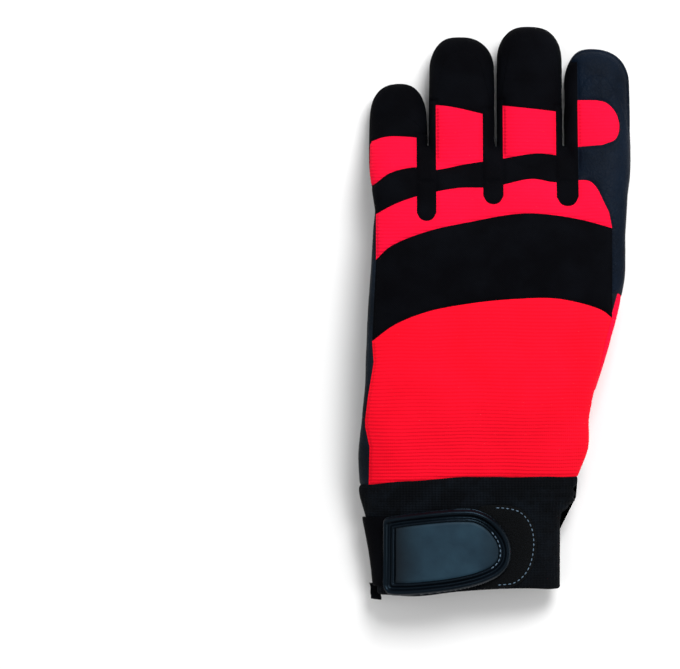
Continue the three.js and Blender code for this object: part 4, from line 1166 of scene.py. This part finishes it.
FINISH_OF = {"back_panel": "back_panel", "knuckle_panel": "finger_red", "index_leather": "index"}
SLOT_OF = {"back_panel": "red", "finger_red": "red", "black": "black", "index": "leather"}


def finish_for(name):
    if name in FINISH_OF:
        return FINISH_OF[name]
    return "finger_red" if name.endswith("_back") else "black"


OUTER_SKIN = sewn_skin()
SKIN = Surface(OUTER_SKIN)
AROUND_THUMB = bent_grid(lambda u, v: thumb_form(u, v, AROUND), 80, 100)


def cut_panels():
    """The glove's skin, cut into its sewn panels."""
    skin = combined(OUTER_SKIN, hollow_form(), "DIFFERENCE")
    for name, sides in CUTS:
        spaces = [cutter(sides, growth) for growth in (-HAIR_GAP, HAIR_GAP)]
        if name == "index_leather":
            spaces = [combined(space, AROUND_THUMB, "DIFFERENCE") for space in spaces]
        piece = main_body(combined(skin, spaces[0], "INTERSECT"))
        skin = combined(skin, spaces[1], "DIFFERENCE")
        finish = finish_for(name)
        dress(name, piece, finishes[finish], SLOT_OF[finish], name)
    red_side = combined(prism(thumb_back_outline()), AROUND_THUMB, "INTERSECT")
    red_side = combined(red_side, above_thumb_seam(0), "DIFFERENCE")
    wrap = leaned(prism(thumb_wrap_outline()), WRAP_LEAN, PALM_LIFT + PALM_THICKNESS / 2)
    foot = combined(prism(on_hand(THUMB_FOOT)), above_parting(0.5), "DIFFERENCE")
    red_side = combined(red_side, combined(wrap, foot, "UNION"), "UNION")
    back = main_body(combined(skin, red_side, "INTERSECT"))
    dress("thumb_back", back, finishes["finger_red"], "red", "thumb_back")
    skin = combined(skin, red_side, "DIFFERENCE")
    hand = bent_grid(lambda u, v: hand_form(u, v, 0.3), 140, 150)
    front = combined(AROUND_THUMB, hand, "DIFFERENCE")
    leather_side = main_body(combined(skin, front, "INTERSECT"))
    dress("thumb_front", leather_side, finishes["thumb"], "leather", "thumb_front")
    skin = combined(skin, front, "DIFFERENCE")
    dress("palm", main_body(skin), finishes["leather"], "leather", "palm")


def rise_by(rows):
    """The height at each depth, by a table."""
    return lambda depth: smooth_through(column(rows, "depth"), column(rows, "height"), np.maximum(depth, 0))


def laid(look, outline, rise, under=0.05, cell=0.5, margin=1.5):
    """A layer laid on a surface inside an outline, as thick as rise says by the depth inside it."""
    outline = np.array(outline, float)
    low, high = outline.min(axis=0) - margin, outline.max(axis=0) + margin
    columns, rows = ((high - low) / cell).astype(int)
    bm = bmesh.new()
    bmesh.ops.create_grid(bm, x_segments=int(columns), y_segments=int(rows), size=0.5)
    for v in bm.verts:
        v.co = (*(low + (v.co.x + 0.5, v.co.y + 0.5) * (high - low)), 0)
        place, normal = look(v.co.x, v.co.y)
        v.co.z = place.z if place else np.interp(v.co.y, PARTING_Y, PARTING_Z)
    for _ in range(4):
        bmesh.ops.smooth_vert(bm, verts=bm.verts, factor=0.5, use_axis_z=True)
    bm.normal_update()
    facing = 1 if look(*outline.mean(axis=0))[1].z > 0 else -1
    base = np.array([v.co for v in bm.verts])
    outwards = np.array([v.normal * (facing if v.normal.z > 0 else -facing) for v in bm.verts])
    depth = depth_inside(base[:, :2], outline)
    top = bmesh.ops.duplicate(bm, geom=bm.verts[:] + bm.edges[:] + bm.faces[:])["vert_map"]
    bm.verts.index_update()
    bottom = [v for v in bm.verts if v in top][:len(base)]
    for v, place, normal, thick in zip(bottom, base, outwards, rise(depth)):
        top[v].co = place + normal * thick
        v.co = place + normal * under
    bmesh.ops.bridge_loops(bm, edges=[e for e in bm.edges if e.is_boundary])
    bmesh.ops.triangulate(bm, faces=bm.faces[:])
    bmesh.ops.recalc_face_normals(bm, faces=bm.faces)
    return main_body(combined(mesh_of(bm), prism(outline), "INTERSECT"), 0.2)


def filled(pad, outline, most):
    """The pad swollen by its filling: a cloth simulation presses its face out, while its base and its edge,
    with the sewn rows, stay where they are."""
    shrunk = pad.copy()
    shrunk.transform(Matrix.Scale(SIM_SCALE, 4))
    start = baked(shrunk, ("REMESH", dict(mode="VOXEL", voxel_size=SIM_CELL * SIM_SCALE)))
    rest = coords(start)
    work = bpy.data.objects.new("filling", start)
    bpy.context.scene.collection.objects.link(work)
    depth = depth_inside(rest[:, :2] / SIM_SCALE, outline)
    outwards = normals(start)[:, 2] < 0.2
    sewn = np.flatnonzero((depth < SEW_ROWS[1]) | ~outwards)
    work.vertex_groups.new(name="sewn").add([int(i) for i in sewn], 1, "REPLACE")
    cloth = work.modifiers.new("cloth", "CLOTH")
    cloth.settings.effector_weights.gravity = 0
    cloth.settings.use_pressure = True
    cloth.settings.uniform_pressure_force = SIM_PRESSURE
    cloth.settings.vertex_group_mass = "sewn"
    cloth.collision_settings.use_collision = False
    for moment in range(1, SIM_FRAMES + 1):
        bpy.context.scene.frame_set(moment)
    swollen = coords(work.evaluated_get(bpy.context.evaluated_depsgraph_get()).data)
    bpy.data.objects.remove(work)
    bpy.context.scene.frame_set(1)
    moved = (swollen - rest) / SIM_SCALE
    length = np.linalg.norm(moved, axis=1, keepdims=True)
    moved *= most * np.tanh(length / most) / np.maximum(length, 1e-9)
    tree = KDTree(len(rest))
    for i, place in enumerate(rest / SIM_SCALE):
        tree.insert(place, i)
    tree.balance()
    places = coords(pad)
    share = np.clip((depth_inside(places[:, :2], outline) - SEW_ROWS[1]) / 2, 0, 1)
    for i in np.flatnonzero(share > 0):
        near = tree.find_n(places[i], 4)
        weights = np.array([1 / (distance + 0.1) for _, _, distance in near])
        push = (weights[:, None] * moved[[index for _, index, _ in near]]).sum(axis=0) / weights.sum()
        places[i] += push * share[i]
    set_coords(pad, places)
    return pad


def stitches(bm, line, look, closed=False):
    """A row of stitches along a line on a surface."""
    length, radius = STITCH_SIZE
    points = spaced(line, STITCH_PITCH, closed)
    for one, two in zip(points, np.roll(points, -1, axis=0) if closed else points[1:]):
        ends = [look(*mix(one, two, share))[0] for share in (0.15, 0.85)]
        if not all(ends) or (ends[1] - ends[0]).length > 1.5 * STITCH_PITCH:
            continue
        way = ends[1] - ends[0]
        turn = way.to_track_quat("X", "Z").to_matrix().to_4x4()
        turned = Matrix.Translation((ends[0] + ends[1]) / 2) @ turn
        shape = Matrix.Diagonal((length / 2, radius, radius, 1))
        bmesh.ops.create_uvsphere(bm, u_segments=6, v_segments=4, radius=1, matrix=turned @ shape)


def sewn_rows(name, rows, finish, slot):
    """Rows of stitches as one piece; each row is a line, what it is sewn on, and whether it is closed."""
    bm = bmesh.new()
    for line, look, closed in rows:
        stitches(bm, line, look, closed)
    dress(name, mesh_of(bm), finishes[finish], slot, sharp=180)


def beside(line, distance):
    """An open line moved to its left by a distance."""
    line = np.array(line, float)
    way = np.gradient(line, axis=0)
    way /= np.linalg.norm(way, axis=1, keepdims=True)
    return line + distance * np.stack([-way[:, 1], way[:, 0]], axis=1)


def pad_outlines():
    x, y = on_hand([(SIDE_PAD["across"], SIDE_PAD["along"])])[0]
    turns = np.linspace(0, 2 * math.pi, 60, endpoint=False)
    half_width, half_length = SIDE_PAD["wide"] * PALM_WIDTH, SIDE_PAD["long"] * PALM_LENGTH
    oval = [(x + half_width * math.cos(a), y + half_length * math.sin(a)) for a in turns]
    return {"heel_pad_outer": curve(on_hand(HEEL_PAD_OUTER), 90, closed=True),
            "heel_pad_thumb": curve(on_hand(HEEL_PAD_THUMB), 70, closed=True),
            "upper_pad": curve(on_hand(UPPER_PAD), 150, closed=True),
            "side_pad": np.array(oval)}


def rounded_corners(corners, radius, steps=6):
    """A four-cornered outline with round corners."""
    made = []
    p = np.array(corners, float)
    for before, here, after in zip(np.roll(p, 1, axis=0), p, np.roll(p, -1, axis=0)):
        start = here + radius * (before - here) / np.linalg.norm(before - here)
        end = here + radius * (after - here) / np.linalg.norm(after - here)
        for t in np.linspace(0, 1, steps):
            made.append((1 - t) ** 2 * start + 2 * t * (1 - t) * here + t * t * end)
    return np.array(made)


def finger_pad_outline(pad):
    finger = finger_named[pad["finger"]]
    left, right = (on_finger(finger, share, 0)[0] for share in (FINGER_PAD_EDGE, 1 - FINGER_PAD_EDGE))
    low, high = (on_finger(finger, 0, share)[1] for share in (pad["start"], pad["end"]))
    if pad["end"] < 0.9:
        return rounded_corners([(left, low), (right, low), (right, high), (left, high)], 1.5)
    shoulder = high - 9
    tip = curve([(right, shoulder), (mix(left, right, 0.86), high - 3.2), (mix(left, right, 0.5), high - 0.5),
                 (mix(left, right, 0.14), high - 3.2), (left, shoulder)], 24)
    return np.array([(left, low), (right, low), *map(tuple, tip)])


def lay_pads():
    """The pads on the palm and on the finger fronts, with their sewn rows."""
    near_thumb = bent_grid(lambda u, v: thumb_form(u, v, 0.5), 80, 100)
    for name, outline in pad_outlines().items():
        pad = filled(laid(SKIN.from_below, outline, rise_by(PAD_RISE)), outline, PAD_SWELL)
        pad = main_body(combined(pad, near_thumb, "DIFFERENCE"), 0.2)
        surface = Surface(pad)
        rows = [(grown(outline, -depth), surface.from_below, True) for depth in SEW_ROWS]
        dress(name, pad, finishes["pad"], "pad", name)
        sewn_rows(name + "_stitches", rows, "thread", "pad")
    for spec in FINGER_PADS:
        outline = finger_pad_outline(spec)
        pad = laid(SKIN.from_floor, outline, rise_by(FINGER_PAD_RISE))
        surface = Surface(pad)
        left, right = outline[:, 0].min() + 1, outline[:, 0].max() - 1
        low, high = outline[:, 1].min(), outline[:, 1].max()
        heights = [low + depth for depth in FINGER_SEW_ROWS]
        if spec["end"] < 0.9:
            heights += [high - depth for depth in FINGER_SEW_ROWS]
        rows = [([(left, y), (right, y)], surface.from_floor, False) for y in heights]
        dress(spec["name"], pad, finishes["pad"], "pad", spec["name"])
        sewn_rows(spec["name"] + "_stitches", rows, "thread", "pad")


def gathered_cuff(turn, y, out):
    """The cuff's form, with fine gathers on the thumb's side below the wrist."""
    right_side = bell(np.minimum(turn, 1 - turn), 0.13)
    gathers = 0.55 * np.sin(2 * np.pi * y / 3.7 + 3 * turn) * right_side * bell(y - 47, 7)
    ripple = 0.25 * np.sin(2 * np.pi * (turn * 9 + 0.3 * np.sin(y / 9))) * bell(y - 50, 14)
    return cuff_form(turn, y, out + gathers + ripple)


def cuff_mesh():
    """A tube with a wall: down the outside, round the hem and up the inside."""
    def place(turn, along):
        top = WRIST_Y + CUFF_TUCK
        path = np.array([(top - 1.3, -0.5), (top - 2.2, 0.1), (top - 4, 0.3), (2.5, 0.15), (1.0, 0.25),
                         (0.0, -0.5), (-0.1, -1.2), (0.0, -1.9), (1.0, -2.5), (top - 2, -CUFF_WALL),
                         (top, -CUFF_WALL), (top, -1.2), (top - 1.3, -0.5)])
        distance = np.concatenate([[0], np.cumsum(np.linalg.norm(np.diff(path, axis=0), axis=1))])
        at = along * distance[-1]
        y, out = np.interp(at, distance, path[:, 0]), np.interp(at, distance, path[:, 1])
        x, y, z = gathered_cuff(turn, y, out)
        rise = smooth_through(column(HEM, "x"), column(HEM, "rise"), x)
        return x, y + rise * np.clip(1 - y / 30, 0, 1.1), z
    return bent_grid(place, 220, 260)


def strap_mesh():
    def place(turn, along):
        side, up = rounded(turn, STRAP_WIDTH / 2, STRAP_THICKNESS / 2, 7)
        out = STRAP_THICKNESS / 2 + 0.15 + up
        return cuff_form(mix(*STRAP_REACH, along), STRAP_CENTRE_Y + side, out)
    return bent_grid(place, 80, 90)


def tail_mesh():
    """A tape folded over at its end."""
    bend = math.pi * TAIL_FOLD
    straight = TAIL_LENGTH - TAIL_FOLD
    x0, z0 = CUFF_EDGES[0] - SEAM_GAP - TAIL_WIDTH / 2 + 1.2, CUFF_THICKNESS / 2 - 3

    def place(turn, along):
        side, up = rounded(turn, TAIL_WIDTH / 2, 0.55, 5)
        at = along * (2 * straight + bend)
        angle = np.clip((at - straight) / bend, 0, 1) * np.pi
        down = np.minimum(at, straight) - np.maximum(at - straight - bend, 0)
        radius = TAIL_FOLD + up
        y = TAIL_LENGTH - down - radius * np.sin(angle)
        z = z0 + radius * np.cos(angle) + 0.25 * np.sin(down * 1.3)
        return x0 + side + 0.16 * down + 0.25 * np.sin(down * 0.9), y - 0.12 * side - 0.5, z
    return bent_grid(place, 40, 60)


def wrist_pieces():
    """The cuff, the tape's tail, and what is laid on the cuff's back."""
    cuff = cuff_mesh()
    on_cuff = Surface(cuff)
    dress("cuff", cuff, finishes["cuff"], "black", "cuff")
    dress("seam_tail", tail_mesh(), finishes["black"], "black", "seam_tail")
    dress("wrist_strap", strap_mesh(), finishes["black"], "black", "wrist_strap")
    patch_outline = curve(PATCH_OUTLINE, 80, closed=True)
    patch = laid(on_cuff.from_above, patch_outline, rise_by(PATCH_RISE), 0.08, 0.6)
    on_patch = Surface(patch)
    dress("loop_patch", patch, finishes["loop"], "black", "loop_patch")
    over_strap = Surface(bent_grid(lambda u, v: cuff_form(u, mix(0, CUFF_LENGTH, v), UNDER_TAB), 260, 90))
    tab_outline = curve(TAB_OUTLINE, 140, closed=True)
    tab = laid(over_strap.from_above, tab_outline, rise_by(TAB_RISE), 0.1, 0.4)
    on_tab = Surface(tab)
    dress("strap_tab", tab, finishes["rubber"], "rubber", "strap_tab")
    field_outline = grown(tab_outline, -TAB_LIP_WIDTH)
    field = laid(over_strap.from_above, field_outline, rise_by(FIELD_RISE), 1.55, 0.5)
    dress("tab_field", field, finishes["field"], "field", "tab_field")
    patch_row = grown(patch_outline, -1.4)
    patch_row = patch_row[patch_row[:, 0] > 2]
    order = np.argsort(-np.arctan2(patch_row[:, 1] - 24, patch_row[:, 0] - 2))
    tab_row = grown(tab_outline, -5.0)
    tab_row = tab_row[tab_row[:, 0] > 0]
    tab_order = np.argsort(-np.arctan2(tab_row[:, 1] - 22, tab_row[:, 0] + 10))
    rows = [(patch_row[order], on_patch.from_above, False), (tab_row[tab_order], on_tab.from_above, False)]
    sewn_rows("strap_stitches", rows, "thread", "black")


def sew_seams():
    """Rows of stitches along the leather's seams."""
    index_line = curve(on_hand(INDEX_SEAM[:-1]), 60)
    rows = [(beside(index_line, side), SKIN.on_palm, False) for side in (1.2, 2.9)]
    index = finger_named["index"]
    for spec in FLEX_SLOTS:
        edge_line = grown(slot_outline(spec, index), 1.1)
        kept = edge_line[(edge_line[:, 0] > index["left"] + 1.5)]
        rows.append((kept, SKIN.from_floor, False))
    sewn_rows("index_stitches", rows, "thread", "leather")
    thumb_line = curve(on_hand(THUMB_BACK_SEAM), 70)
    rows = [(beside(thumb_line, -side), SKIN.from_floor, False) for side in (1.2, 2.9)]
    sewn_rows("thumb_stitches", rows, "thread", "leather")
    cuff_line = [(x, WRIST_Y + 0.9) for x in (-44, -20, 0, 20)]
    sewn_rows("cuff_stitches", [(cuff_line, SKIN.from_floor, False)], "pale_thread", "black")


picture()
lights()
surface_below()
bpy.context.scene.view_settings.view_transform = "Standard"

cut_panels()
lay_pads()
wrist_pieces()
sew_seams()
